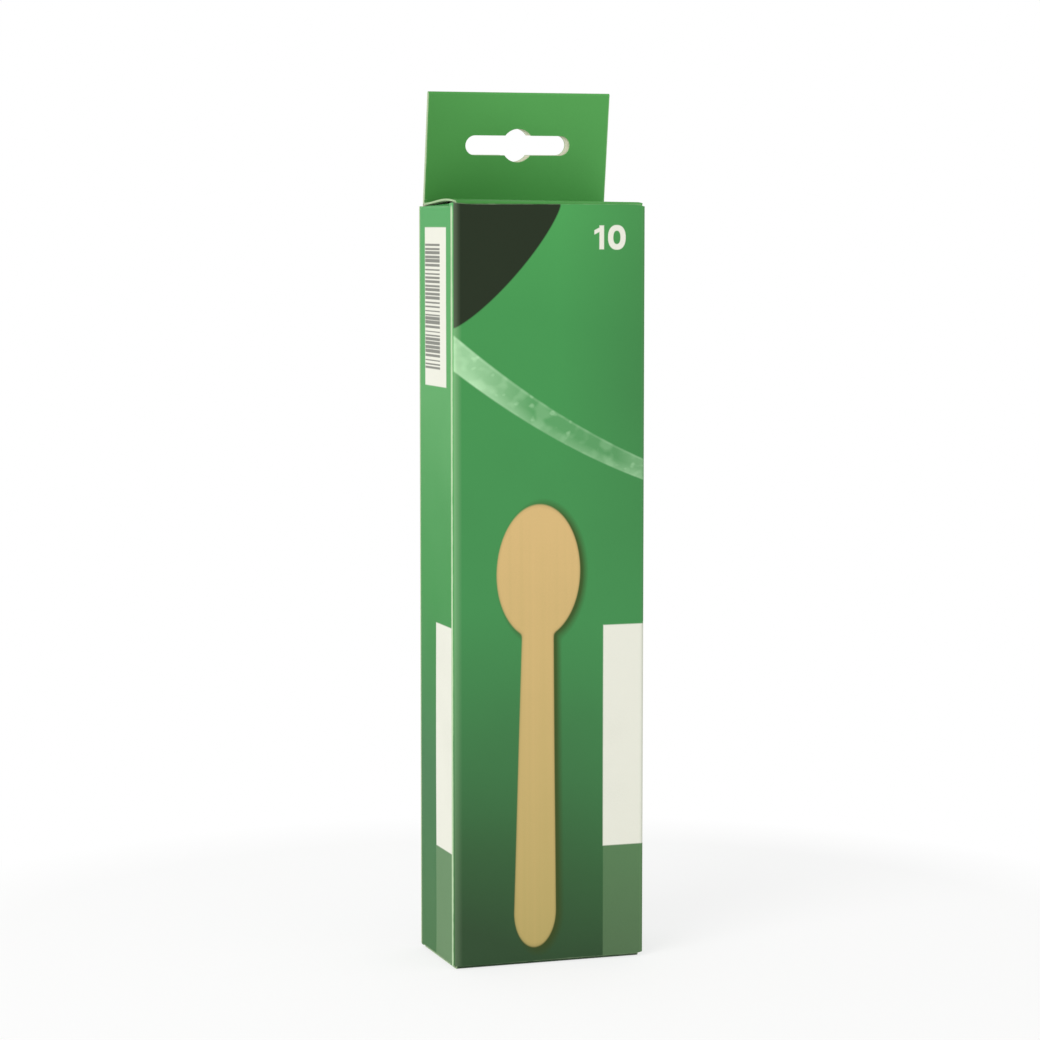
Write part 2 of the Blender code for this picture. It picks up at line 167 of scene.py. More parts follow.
class PrintColours(bpy.types.PropertyGroup):
    """Colours of the print and of the bare board, as they look on paper."""

    green_top: colour("Green, top", "Ground of the front wall at its top", 76, 159, 85)
    green_high: colour("Green, high", "Ground of the front wall above its middle", 68, 147, 79)
    green_middle: colour("Green, middle", "Ground of the front wall at its middle", 67, 140, 79)
    green_lower: colour("Green, lower", "Ground of the front wall at its lower quarter", 61, 116, 68)
    green_low: colour("Green, low", "Ground of the front wall just above its foot", 55, 96, 57)
    green_foot: colour("Green, foot", "Ground of the front wall at its foot", 49, 76, 48)
    side_top: colour("Side, top", "Ground of the side walls at their top", 80, 161, 92)
    side_high: colour("Side, high", "Ground of the side walls above their middle", 86, 161, 92)
    side_middle: colour("Side, middle", "Ground of the side walls at their middle", 55, 141, 66)
    side_low: colour("Side, low", "Ground of the side walls below their middle", 55, 115, 66)
    side_foot: colour("Side, foot", "Ground of the side walls at their foot", 59, 109, 57)
    tab_light: colour("Tab, light", "Ground of the hang tab at its top right", 84, 160, 82)
    # Painted shade: the darker tab green below, where shade falls at the tab's lower left near its
    # foot.
    tab_painted_shade: colour("Tab, dark", "Ground of the hang tab at its lower left", 63, 129, 57)
    corner: colour("Dark corner", "Field in the front wall's upper corner", 34, 45, 28)
    ribbon: colour("Ribbon", "Light band across the front wall", 196, 240, 192)
    # The veil's colour also paints the shade along the front wall's right fold.
    veil: colour("Veil", "Thin light field below the pale labels", 118, 150, 108)
    label: colour("Label", "Pale fields for writing", 230, 230, 217)
    bars: colour("Bars", "Dark strokes in the pale field of the side wall", 70, 74, 68)
    wood_top: colour("Pictured wood, top", "Pictured spoon at its bowl", 213, 181, 122)
    wood_foot: colour("Pictured wood, foot", "Pictured spoon at its handle's end", 184, 165, 102)
    shade: colour("Pictured shade", "Shadow beside the pictured spoon", 58, 70, 26)
    # The worn colour also paints the sheen beside the front wall's left fold.
    worn: colour("Worn", "Board that shows where ink has rubbed off", 182, 207, 168)
    inside: colour("Inside", "Bare inner face of the board", 232, 226, 206)
    edge: colour("Cut edge", "Cut edge of the board", 172, 198, 155)


class SpoonSizes(bpy.types.PropertyGroup):
    """Sizes and colours of the pressed spoons."""

    count: IntProperty(
        name="Spoons", description="How many spoons are nested", default=10, min=1, max=10
    )
    spoon_length: length("Length", "From the bowl's tip to the handle's end", 0.160)
    bowl_width: length("Bowl width", "Across the bowl", 0.033)
    bowl_tip: length("Bowl tip", "From the tip to the widest place", 0.0268)
    bowl_heel: length("Bowl heel", "From the widest place to the neck", 0.0210)
    bowl_depth: length("Bowl depth", "Depth of the pressed bowl", 0.0050)
    neck: length("Neck", "Width at the neck", 0.0125)
    handle: length("Handle", "Width near the handle's end", 0.0155)
    camber: length("Camber", "Height of the handle's slight curve across", 0.0005)
    veneer: length("Veneer", "Thickness of the wood", 0.0014)
    edge_round: length("Rounding", "Rounding of the stamped edges", 0.00022)
    pale: colour("Pale wood", "Early wood", 232, 208, 160)
    dark: colour("Dark wood", "Late wood and pores", 196, 158, 104)


class StageSettings(bpy.types.PropertyGroup):
    """Floor, light and camera."""

    eye_x: coordinate("Camera X", "Camera's place across", -0.2328)
    eye_y: coordinate("Camera Y", "Camera's place in depth", -0.6802)
    eye_z: coordinate("Camera Z", "Camera's height", 0.1667)
    yaw: angle("Yaw", "How far the camera is turned to the right", 18.69)
    pitch: angle("Pitch", "How far the camera looks down", 5.32)
    lens: number("Lens", "Focal length in millimetres, for a frame 36 mm wide", 109.83, 500.0)
    sky: number("Sky", "Strength of the even white light", 0.68, 10.0)
    key: number("Key lamp", "Power of the soft lamp at the left, in watts", 10.1, 100.0)
    floor: colour("Floor", "Colour of the floor", 252, 252, 251)
    shadow: number("Shadow", "How much of the floor's own shading the camera sees", 0.28, 1.0)


# Sheets.

PRINTED, RAW, CUT = 0, 1, 2
SHARP_TURN = math.radians(35)


def new_mesh(name, points, faces):
    """A mesh from an array of points and one of faces, which give their corners' numbers."""
    mesh = bpy.data.meshes.new(name)
    mesh.from_pydata(points.tolist(), [], faces.tolist())
    return mesh


def in_scene(name, data):
    """A new object of the scene with this mesh, lamp or camera."""
    made = bpy.data.objects.new(name, data)
    bpy.context.scene.collection.objects.link(made)
    return made


def stops(marks, step):
    """Places from the first mark to the last, with every mark among them and no gap above a step."""
    runs = []
    for start, stop in zip(marks, marks[1:]):
        gaps = max(1, math.ceil(abs(stop - start) / step))
        runs.append(np.linspace(start, stop, gaps + 1)[:-1])
    return np.append(np.concatenate(runs), marks[-1])


def arc(centre, radius, start, stop, steps):
    """Points on a circle from one angle to another, in degrees."""
    turn = np.radians(np.linspace(start, stop, steps + 1))
    return np.stack([centre[0] + radius * np.cos(turn), centre[1] + radius * np.sin(turn)], 1)


def unit(vectors):
    """Vectors over their own lengths."""
    return vectors / np.maximum(np.linalg.norm(vectors, axis=-1, keepdims=True), 1e-12)


def tangents(grid, axis, closed=False):
    """The mean of the unit steps before and after each point along one axis of a grid."""
    grid = np.moveaxis(grid, axis, 0)
    steps = unit(np.diff(grid, axis=0))
    if closed:
        last = unit(grid[:1] - grid[-1:])
        before, after = np.concatenate([last, steps]), np.concatenate([steps, last])
    else:
        before, after = np.concatenate([steps[:1], steps]), np.concatenate([steps, steps[-1:]])
    return np.moveaxis(unit(before + after), 0, axis)


def normals(grid, closed=False):
    """Across the columns' direction and the rows' direction, out of the printed face."""
    return unit(np.cross(tangents(grid, 1, closed), tangents(grid, 0)))


def offset(path, distance):
    """A plane path moved to its right by a distance, each point square to the path's direction."""
    along = tangents(path, 0)
    return path + distance * np.stack([along[:, 1], -along[:, 0]], 1)


def travelled(path):
    """Distance from the start of a path to each of its points."""
    return np.concatenate([[0], np.cumsum(np.linalg.norm(np.diff(path, axis=0), axis=1))])


def quads(grid):
    """The corners of each cell of a grid of point numbers, in order round the cell."""
    return np.stack([grid[:-1, :-1], grid[:-1, 1:], grid[1:, 1:], grid[1:, :-1]], -1).reshape(-1, 4)


def rim(outer, inner):
    """Faces across a cut edge, between a border of the printed face and of the bare one."""
    return np.stack([outer[:-1], inner[:-1], inner[1:], outer[1:]], -1)


class Board:
    """Sheets of one piece of board, gathered into one mesh with a material number for each face."""

    def __init__(self):
        self.points, self.faces, self.inks, self.wear = [], [], [], []
        self.size = 0

    def add(self, grid, thickness, wear, inks, closed=False):
        """A sheet from its printed face, a grid of points whose columns and rows run so that their
        cross product points outwards. The bare face lies a thickness behind. inks are the material
        numbers of the printed face, one for all or one for each column, of the bare face and of the
        cut edges. wear is a number for each point of the grid."""
        rows, columns = grid.shape[:2]
        behind = grid - normals(grid, closed) * thickness
        outer = np.arange(rows * columns).reshape(rows, columns)
        if closed:
            outer = np.concatenate([outer, outer[:, :1]], 1)
        inner = outer + rows * columns
        edges = [rim(outer[0], inner[0]), rim(outer[-1, ::-1], inner[-1, ::-1])]
        if not closed:
            edges += [rim(outer[::-1, 0], inner[::-1, 0]), rim(outer[:, -1], inner[:, -1])]
        cut = np.concatenate(edges)
        front, back = quads(outer), quads(inner)[:, ::-1]
        printed = np.broadcast_to(np.asarray(inks[PRINTED]), (outer.shape[1] - 1,))
        self.inks += [
            np.tile(printed, rows - 1),
            np.full(len(back), inks[RAW]),
            np.full(len(cut), inks[CUT]),
        ]
        self.faces.append(np.concatenate([front, back, cut]) + self.size)
        self.points += [grid.reshape(-1, 3), behind.reshape(-1, 3)]
        self.wear += [np.broadcast_to(wear, (rows, columns)).ravel()] * 2
        self.size += 2 * rows * columns

    def build(self, name, materials):
        """The mesh as an object of the scene."""
        mesh = new_mesh(name, np.concatenate(self.points), np.concatenate(self.faces))
        for material in materials:
            mesh.materials.append(material)
        mesh.polygons.foreach_set("material_index", np.concatenate(self.inks).astype(np.int32))
        worn = mesh.attributes.new("wear", "FLOAT", "POINT")
        worn.data.foreach_set("value", np.concatenate(self.wear).astype(np.float32))
        mesh.shade_smooth()
        mesh.set_sharp_from_angle(angle=SHARP_TURN)
        piece = in_scene(name, mesh)
        return piece


def worn_line(distance, width, amount=1.0):
    """Rubbed ink along a line: a bell curve of the distance from it."""
    return amount * np.exp(-((np.asarray(distance) / width) ** 2))


# The sleeve.

FRONT, LEFT, RIGHT, BACK, PLAIN, BARE, EDGE = range(7)
WALL_INKS = np.array([BARE, LEFT, FRONT, RIGHT, BACK])
FOLD_STEPS = 12
NEAR_FOLD = 0.5 * MM
FINE, COARSE = 0.1 * MM, 1.5 * MM
FLAP_COLUMNS = 17

# A step in a wall's end is whole after an eighth of the way along it.
STEEP = 8

# The waves of the glue flap and of the left, front, right and back wall: where they start, in
# radians, and how many there are from foot to top.
WAVE_STARTS = np.array([0.0, 0.7, 2.1, 4.0, 5.2])
WAVE_COUNTS = np.array([0.0, 1.5, 2.2, 1.3, 1.8])


def panel(start, stop, marks=()):
    """Places along a straight run, close together near both folds and at the marks between."""
    way = 1 if stop > start else -1
    inner = sorted(marks, key=lambda place: way * place)
    middle = stops([start + way * NEAR_FOLD, *inner, stop - way * NEAR_FOLD], COARSE)
    first = stops([start, middle[0]], FINE)[:-1]
    last = stops([middle[-1], stop], FINE)[1:]
    return np.concatenate([first, middle, last])


def wall_plan(s):
    """The sleeve's outer line seen from above, the distance along it, and where its folds lie.

    It starts at the glue flap's free edge behind the back wall, folds into the left wall, and runs
    round the front and the right wall to the back wall, which ends at its cut edge. Two points lie
    close together at each side of a dust flap, for the cut between flap and wall."""
    half_width, half_depth, radius = s.width / 2, s.depth / 2, s.fold_radius
    glue, half_cut = 0.03 * MM, 0.02 * MM
    glue_y = half_depth - s.board - glue
    flap_end = half_depth - s.flap_setback
    marks = [side * flap_end + way * half_cut for side in (-1, 1) for way in (-1, 1)]

    def across(xs, y):
        return np.stack([xs, np.full(len(xs), y)], 1)

    def along(x, ys):
        return np.stack([np.full(len(ys), x), ys], 1)

    left, right = -half_width + radius, half_width - radius
    near, far = -half_depth + radius, half_depth - radius
    worn, worn_x, worn_y = s.front_fold, -half_width + s.front_fold, -half_depth + s.front_fold
    runs = [
        across(panel(-half_width + s.board + s.glue_width, left), glue_y),
        arc((left, glue_y - radius), radius, 90, 180, FOLD_STEPS)[1:-1],
        along(-half_width, panel(glue_y - radius, worn_y, marks)),
        arc((worn_x, worn_y), worn, 180, 270, FOLD_STEPS + 6)[1:-1],
        across(panel(worn_x, right), -half_depth),
        arc((right, near), radius, 270, 360, FOLD_STEPS)[1:-1],
        along(half_width, panel(near, far, marks)),
        arc((right, far), radius, 0, 90, FOLD_STEPS)[1:-1],
        across(panel(right, -half_width + s.seam), half_depth),
    ]
    plan = np.concatenate(runs)
    distance = travelled(plan)
    ends = np.cumsum([len(run) for run in runs])
    # Every second run is a fold, whose place is the middle of its run.
    folds = np.array([distance[(ends[k - 1] + ends[k] - 1) // 2] for k in (1, 3, 5, 7)])
    return plan, distance, folds


def add_walls(board, s):
    """The four walls and the glue flap: the plan carried up from each point's foot to its top.

    Each wall has soft waves, deepest in its middle: a half sine across, times a slow cosine up.
    The front wall stands a little higher, and bell curves of the distance from a fold lift its
    left corner and crush its right one. The rows lie closer together near both ends."""
    plan, distance, folds = wall_plan(s)
    # 0 on the glue flap, then 1 to 4 on the left, front, right and back wall.
    wall = np.searchsorted(folds, distance)
    ends = np.concatenate([[0], folds, distance[-1:]])
    part = (distance - ends[wall]) / (ends[wall + 1] - ends[wall])

    on_side = (wall == 1) | (wall == 3)
    behind_flap = on_side & (np.abs(plan[:, 1]) < s.depth / 2 - s.flap_setback)
    foot = np.where(behind_flap, s.foot + s.flap_radius, s.foot)
    top = np.where(behind_flap, s.wall_top - s.flap_radius, s.wall_top)
    glued = np.clip((folds[0] - distance) / s.glue_width, 0, 1)
    shorter = s.glue_gap * (np.clip(glued * STEEP, 0, 1) + glued**2)
    foot, top = foot + shorter, top - shorter
    from_left, from_right = distance - folds[1], distance - folds[2]
    on_front = (wall == 2) * np.clip(STEEP * np.sin(np.pi * np.maximum(part, 0.5)), 0, 1)
    raised = np.maximum(on_front, (wall == 1) & ~behind_flap & (plan[:, 1] < 0))
    left_tip = worn_line(from_left, 2.0 * MM) * ~behind_flap
    right_corner = worn_line(from_right, 0.8 * MM)
    crushed_top, crushed_foot = 0.08 * MM, 0.2 * MM
    top = top + s.front_rise * raised + s.corner_tip * left_tip - crushed_top * right_corner
    foot = foot + crushed_foot * (right_corner + worn_line(from_left, 1.0 * MM))

    end, fine, coarse = 0.01, 0.0012, 0.0125
    rows = stops([0, end], fine), stops([end, 1 - end], coarse)[1:], stops([1 - end, 1], fine)[1:]
    height = np.concatenate(rows)[:, None]
    z = foot + (top - foot) * height
    wave = 0.5 + 0.5 * np.cos(2 * np.pi * WAVE_COUNTS[wall] * height + WAVE_STARTS[wall])
    ends_still = 1 - (2 * height - 1) ** 12
    depth = s.dent * np.sin(np.pi * part) ** 1.5 * wave * ends_still * (wall > 0)
    outwards = np.stack([tangents(plan, 0)[:, 1], -tangents(plan, 0)[:, 0]], 1)
    xy = plan[None] - depth[..., None] * outwards[None]
    grid = np.concatenate([xy, z[..., None]], 2)

    # The front left fold is worn most, a little to its left. The line fades below the lid.
    wear = worn_line(from_left + s.front_fold * 0.62, 1.8 * s.worn_width)
    for fold, amount in zip(folds[[0, 2, 3]], (0.35, 0.2, 0.4)):
        wear = wear + worn_line(distance - fold, s.worn_width, amount)
    from_top, from_foot = top - z, z - foot
    wear = wear * np.clip(from_top / (1.2 * MM), 0.3, 1)
    rim_wear = worn_line(from_top, 0.22 * MM, 0.36) + worn_line(from_foot, 0.25 * MM, 0.3)
    wear = np.maximum(wear, rim_wear * ~behind_flap)
    between = (distance[:-1] + distance[1:]) / 2
    inks = WALL_INKS[np.searchsorted(folds, between)]
    board.add(grid, s.board, wear, (inks, BARE, EDGE))


def narrowed(from_end, radius):
    """How much a rounded corner of this radius takes off each side, by distance from the free end."""
    inside = np.clip(radius - from_end, 0, radius)
    return radius - np.sqrt(radius**2 - inside**2)


def carry(path, half_widths, columns, place):
    """Carries a path across a width that may change along it. place puts each point in space."""
    spread = np.sin(np.linspace(-0.5, 0.5, columns) * np.pi)
    across = half_widths[:, None] * spread[None]
    first = np.broadcast_to(path[:, :1], across.shape)
    second = np.broadcast_to(path[:, 1:], across.shape)
    return place(across, first, second)


def add_dust_flaps(board, s):
    """A flap folded in from each side wall at each end, narrower at its free end, with round corners.

    The one under the lid's bowed edge bulges up by a half sine just behind its fold, more than
    twice as far where the lid is bowed most."""
    radius, reach = s.flap_radius, s.flap_length
    inwards = stops([radius, 0.3 * reach, reach - s.flap_corner, reach], 0.6 * MM)
    drop = s.flap_droop * ((inwards - radius) / (reach - radius)) ** 2
    bend = arc((radius, -radius), radius, 180, 90, FOLD_STEPS)[:-1]
    path = np.concatenate([bend, np.stack([inwards, -drop], 1)])
    from_end = travelled(path)[-1] - travelled(path)
    taper = s.flap_taper * np.clip(path[:, 0] / reach, 0, 1)
    half = s.depth / 2 - s.flap_setback - taper - narrowed(from_end, s.flap_corner)
    bulge = 0.35 * reach
    spring = s.flap_spring * np.sin(np.pi * np.clip((path[:, :1] - radius) / bulge, 0, 1))
    wear = worn_line(travelled(path) - radius * np.pi / 4, s.worn_width, 0.3)[:, None]
    for side, side_ink in ((-1, LEFT), (1, RIGHT)):
        for level, up in ((s.foot, -1), (s.wall_top, 1)):

            def place(across, inward, height):
                x, y = side * (s.width / 2 - inward), side * up * across
                forwards = np.clip(0.5 - y / s.depth, 0, 1)
                lift = spring * (1 + 1.3 * np.sin(np.pi * forwards**1.6)) * (side < 0 < up)
                return np.stack([x, y, level + up * height + lift], -1)

            board.add(carry(path, half, FLAP_COLUMNS, place), s.board, wear, (side_ink, BARE, EDGE))


# The hang tab.

# Shares of the way from the slot to the ply's edge at which a ply's rings of points lie.
RINGS = np.array([0, 0.02, 0.05, 0.1, 0.17, 0.26, 0.37, 0.5, 0.63, 0.76, 0.88, 0.95, 0.985, 1])
RAYS = 220
TOP_STEPS, TOP_COLUMNS = 16, 41


class TabFrame:
    """The leaning tab's own directions: x across, u up along its face, and out of its back."""

    def __init__(self, s):
        self.s = s
        self.up = np.array([0, -math.sin(s.tab_lean), math.cos(s.tab_lean)])
        self.out = np.array([0, math.cos(s.tab_lean), math.sin(s.tab_lean)])
        self.root = np.array([0, s.depth / 2, s.wall_top])
        self.radius = s.board + s.ply_gap / 2
        self.straight = s.tab_height - self.radius
        self.half = s.width / 2 - s.tab_inset

    def bow(self, x, u):
        """Both plies bow together: a half sine up the tab times a slow wave across it."""
        rise = np.sin(np.pi * np.clip(u / self.s.tab_height, 0, 1) * 0.8)
        return -self.s.tab_bow * rise * (0.6 + 0.4 * np.cos(np.pi * x / self.half + 0.6))

    def place(self, x, u, out=0.0):
        """A point at x and u, this far out of the back ply's outer face."""
        x, u = np.broadcast_arrays(x, u)
        away = (out + self.bow(x, u))[..., None]
        across = np.stack([x, np.zeros_like(x), np.zeros_like(x)], -1)
        return self.root + across + u[..., None] * self.up + away * self.out


def slot_reach(turn, s):
    """Distance from the slot's middle to its outline in each direction.

    The outline is the union of a bar with half-round ends and a round hump in its middle."""
    c, q = np.abs(np.cos(turn)), np.abs(np.sin(turn))
    h = s.slot_height / 2
    e = s.slot_length / 2 - h
    flat = h / np.maximum(q, 1e-9)
    rounded = e * c + np.sqrt(np.maximum(h**2 - (e * q) ** 2, 0))
    return np.maximum(np.where(h * c <= e * q, flat, rounded), s.slot_hump / 2)


def ply(s, shift, low, high, half):
    """A ply with its slot as rings: each ray from the slot's middle runs from the slot's outline to
    the ply's edge. The rays lie evenly along the outline, with one at each of its corners and at
    each of the ply's, in place of any that is almost there. shift is how far the slot lies off the
    middle. Gives x, u and the distance from the slot."""
    middle = s.tab_height - s.slot_drop
    turn = np.linspace(0, 2 * np.pi, 4001)[:-1]
    reach = slot_reach(turn, s)
    outline = np.stack([reach * np.cos(turn), reach * np.sin(turn)], 1)
    along = travelled(outline)
    even = np.interp(np.linspace(0, along[-1], RAYS + 1)[:-1], along, turn)
    join = math.asin(s.slot_height / s.slot_hump)
    shoulder = math.atan2(s.slot_height / 2, s.slot_length / 2 - s.slot_height / 2)
    corners = [math.atan2(u - middle, x - shift) for x in (-half, half) for u in (low, high)]
    marks = [a + q for a in (0, np.pi) for q in (join, -join, shoulder, -shoulder)]
    marks = np.concatenate([corners, marks]) % (2 * np.pi)
    keep = np.abs((even[:, None] - marks[None] + np.pi) % (2 * np.pi) - np.pi).min(1) > 0.002
    turn = np.sort(np.concatenate([even[keep], marks]))
    c, q = np.cos(turn), np.sin(turn)
    to_side = np.where(c > 0, half - shift, half + shift) / np.maximum(np.abs(c), 1e-9)
    to_end = np.where(q > 0, high - middle, middle - low) / np.maximum(np.abs(q), 1e-9)
    inner, outer = slot_reach(turn, s), np.minimum(to_side, to_end)
    radius = inner + (outer - inner) * RINGS[:, None]
    return shift + radius * c, middle + radius * q, radius - inner


def add_tab(board, s):
    """The back ply goes up, folds over a half round at the top and comes down as the front ply."""
    tab = TabFrame(s)

    def ply_wear(x, slot):
        sides = worn_line(tab.half - np.abs(x), 0.22 * MM, 0.6)
        return np.maximum(sides, worn_line(slot, 0.2 * MM, 0.35))

    inks = PLAIN, BARE, EDGE
    x, u, slot = ply(s, -s.slot_slip, 0, tab.straight, tab.half)
    board.add(tab.place(x, u), s.board, ply_wear(x, slot), inks, closed=True)

    x, u, slot = (part[:, ::-1] for part in ply(s, 0, s.valley_start, tab.straight, tab.half))
    grid = tab.place(x, u, -2 * tab.radius)
    board.add(grid, s.board, ply_wear(x, slot), inks, closed=True)

    bend = arc((-tab.radius, 0), tab.radius, 0, 180, TOP_STEPS)
    half = np.full(len(bend), tab.half)

    def place(across, out, up):
        base = tab.place(-across, np.full_like(across, tab.straight), 0)
        return base + out[..., None] * tab.out + up[..., None] * tab.up

    grid = carry(bend, half, TOP_COLUMNS, place)
    middle = tab.radius * np.pi / 2
    wear = worn_line(travelled(bend) - middle, 0.35 * MM, 0.42)[:, None]
    board.add(grid, s.board, wear, inks)


# Lids.

LID_COLUMNS = 33
RIGHT_FADING = 0.85  # share of the top lid's bow that has gone at its right edge


def tuck_line(s, reach, height, way):
    """The fold and the tuck at a lid's front, from the lid's hinge, in y and z."""
    turn = np.linspace(0, np.pi / 2 - s.tuck_lean, FOLD_STEPS + 1)
    y = -reach + s.tuck_radius * (1 - np.sin(turn))
    z = height + way * s.tuck_radius * (1 - np.cos(turn))
    down = stops([0, s.tuck_length - s.tuck_corner, s.tuck_length], 0.5 * MM)[1:]
    y = np.append(y, y[-1] + down * math.sin(s.tuck_lean))
    z = np.append(z, z[-1] + way * down * math.cos(s.tuck_lean))
    return np.stack([y, z], 1)


def lid_reach(s, hinge):
    """From a hinge to the middle of the tuck's board, which lies just behind the front wall."""
    return hinge[1] - (-s.depth / 2 + s.board + s.tuck_gap + s.board / 2)


def top_lid_line(s):
    """The top lid's middle line from its hinge: it rises evenly to the front and is bowed up by a
    half sine whose crown lies nearer the front. Gives the bow's share of each height too."""
    reach = lid_reach(s, HINGES["top_lid_hinge"])
    flat = reach - s.tuck_radius
    part = stops([s.lid_start / flat, 1], 0.03)[:-1]
    bow = s.lid_bow * np.sin(np.pi * part**1.6)
    lid = np.stack([-flat * part, s.lid_rise * part + bow], 1)
    line = np.concatenate([lid, tuck_line(s, reach, s.lid_rise, -1)])
    return line, np.append(bow, np.zeros(len(line) - len(bow)))


def add_lid(name, s, line, bow, hinge, outwards, materials):
    """Carries a lid's line across its width. Its outer face lies half a board outside the line.

    The bow is whole at the left edge and fades evenly to a sixth of itself at the right, where
    the lid also lies lower towards its front and its edge curls down. The flat part is a little
    wider on the right, and this fades over the fold and the start of the tuck."""
    line = line + np.array(hinge[1:])
    outer = offset(line, outwards * s.board / 2)
    far = travelled(outer)
    half = s.width / 2 - s.lid_inset - narrowed(far[-1] - far, s.tuck_corner)
    bend = far[np.argmin(np.abs(line[:, 0] - line[:, 0].min()))]
    stays = np.array([0, 4 * MM, bend - 1.2 * MM, bend + 0.1 * MM, bend + 3 * MM])
    slip = s.lid_slip * np.interp(far, stays, [0, 1, 1, 0.4, 0])[:, None] * (outwards > 0)
    fall = (s.lid_fall * np.clip(far / bend, 0, 1) * (outwards > 0))[:, None]

    def to_right(x):
        return np.clip(x / half.max() + 1, 0, 2) / 2

    def place(across, y, z):
        x = -outwards * across
        rightwards = to_right(x)
        lower = (bow[:, None] * RIGHT_FADING + fall) * rightwards
        curled = np.clip((x - half.max()) / (1.2 * MM) + 1, 0, 1) ** 2 * (outwards > 0)
        return np.stack([x + slip * rightwards, y, z - lower - s.lid_curl * curled], -1)

    grid = carry(outer, half, LID_COLUMNS, place)
    sides = worn_line(half[:, None] - np.abs(grid[..., 0]), 0.25 * MM, 0.5)
    more_to_right = 1 + 0.8 * to_right(grid[..., 0]) ** 2
    wear = worn_line(far - bend, 0.5 * MM, 0.22)[:, None] * more_to_right
    board = Board()
    board.add(grid, s.board, np.maximum(wear, sides), (PRINTED, RAW, CUT))
    return board.build(name, materials)


def crease(name, s, outer, way, materials):
    """A strip of board at a lid's hinge: from the fixed board's end to the lid's start. It is
    worn along its middle."""
    half = np.full(len(outer), s.width / 2 - s.lid_inset)

    def place(across, y, z):
        return np.stack([way * across, y, z], -1)

    grid = carry(outer, half, LID_COLUMNS, place)
    along = travelled(outer)
    wear = worn_line(along - along[-1] / 2, 0.3 * MM, 0.35)[:, None]
    board = Board()
    board.add(grid, s.board, wear, (PRINTED, RAW, CUT))
    strip = board.build(name, materials)
    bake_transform(strip)


def top_crease_line(s):
    """Down the front ply's outer face, round a small hollow fillet, and forwards onto the lid.

    The fillet's circle touches the ply's line and a level line at the lid's upper face."""
    tab = TabFrame(s)
    hinge = HINGES["top_lid_hinge"]
    lid_top = hinge[2] + s.board / 2
    ply_foot = tab.root - 2 * tab.radius * tab.out
    corner_u = (lid_top - ply_foot[2]) / tab.up[2]
    corner = (ply_foot + corner_u * tab.up)[1:]
    up = tab.up[1:]
    forwards = np.array([-1.0, 0.0])
    opening = math.acos(float(up @ forwards))
    reach = s.valley / math.tan(opening / 2)
    centre = corner + unit(up + forwards) * s.valley / math.sin(opening / 2)
    begin, finish = corner + up * reach - centre, corner + forwards * reach - centre
    from_turn, to_turn = math.atan2(begin[1], begin[0]), math.atan2(finish[1], finish[0])
    if to_turn > 0:
        to_turn -= 2 * math.pi
    hollow = arc(centre, s.valley, math.degrees(from_turn), math.degrees(to_turn), 8)
    first = ply_foot[1:] + up * stops([s.valley_start, corner_u + reach], 0.15 * MM)[:-1, None]
    lid = offset(top_lid_line(s)[0] + np.array(hinge[1:]), s.board / 2)[0]
    last = hollow[-1] + (lid - hollow[-1]) * np.linspace(0, 1, 5)[1:, None]
    return np.concatenate([first, hollow, last])


def bottom_crease_line(s):
    """Down the back wall's outer face and round a quarter circle forwards under the carton."""
    back, radius = s.depth / 2, s.fold_radius
    bend = arc((back - radius, radius), radius, 0, -90, FOLD_STEPS)
    return np.concatenate([[[back, s.foot]], bend])


def bottom_lid_line(s):
    """The bottom lid's middle line from where its crease ends: flat, then its tuck turned up."""
    reach = lid_reach(s, HINGES["bottom_lid_hinge"])
    flat = stops([-(s.fold_radius - s.board / 2), -(reach - s.tuck_radius)], 1.0 * MM)[:-1]
    lid = np.stack([flat, np.zeros_like(flat)], 1)
    line = np.concatenate([lid, tuck_line(s, reach, 0, 1)])
    return line, np.zeros(len(line))


# Spoons.

STAMPED_TURN = math.radians(50)
BOWL_ROWS, END_ROWS, SPOON_COLUMNS = 26, 18, 29


def spoon_half_width(station, s):
    """Half the spoon's width at a distance from its tip.

    The bowl is two half ovals that meet at its widest place, the handle a strip that widens evenly
    to a half-round end. A fourth-power mean joins them and rounds the corner at the neck."""
    before = station < s.bowl_tip
    part = (station - s.bowl_tip) / np.where(before, s.bowl_tip, s.bowl_heel)
    bowl = s.bowl_width / 2 * np.sqrt(np.clip(1 - part**2, 0, None))
    neck, radius = s.bowl_tip + s.bowl_heel, s.handle / 2
    end = s.spoon_length - radius
    widening = np.clip((station - neck) / (end - neck), 0, 1)
    fade = np.clip((station - s.bowl_tip) / (s.bowl_heel / 2), 0, 1)
    strip = fade * (s.neck + (s.handle - s.neck) * widening) / 2
    rounded = np.sqrt(np.clip(radius**2 - np.clip(station - end, 0, None) ** 2, 0, None))
    strip = np.where(station > end, rounded, strip)
    return (bowl**4 + strip**4) ** 0.25


def spoon_depth(x, station, s):
    """How far a point is pressed down: a cosine dish over the bowl's oval, and a slight arch
    across the handle that starts at the bowl's widest place."""
    heel = np.where(station < s.bowl_tip, s.bowl_tip, s.bowl_heel)
    radius = np.hypot(x / (s.bowl_width / 2), (station - s.bowl_tip) / heel)
    dish = s.bowl_depth * (1 + np.cos(np.pi * np.clip(radius, 0, 1))) / 2
    along = np.clip((station - s.bowl_tip) / s.bowl_heel, 0, 1)
    across = x / (s.handle / 2)
    return dish + s.camber * along * np.clip(1 - across**2, 0, None)


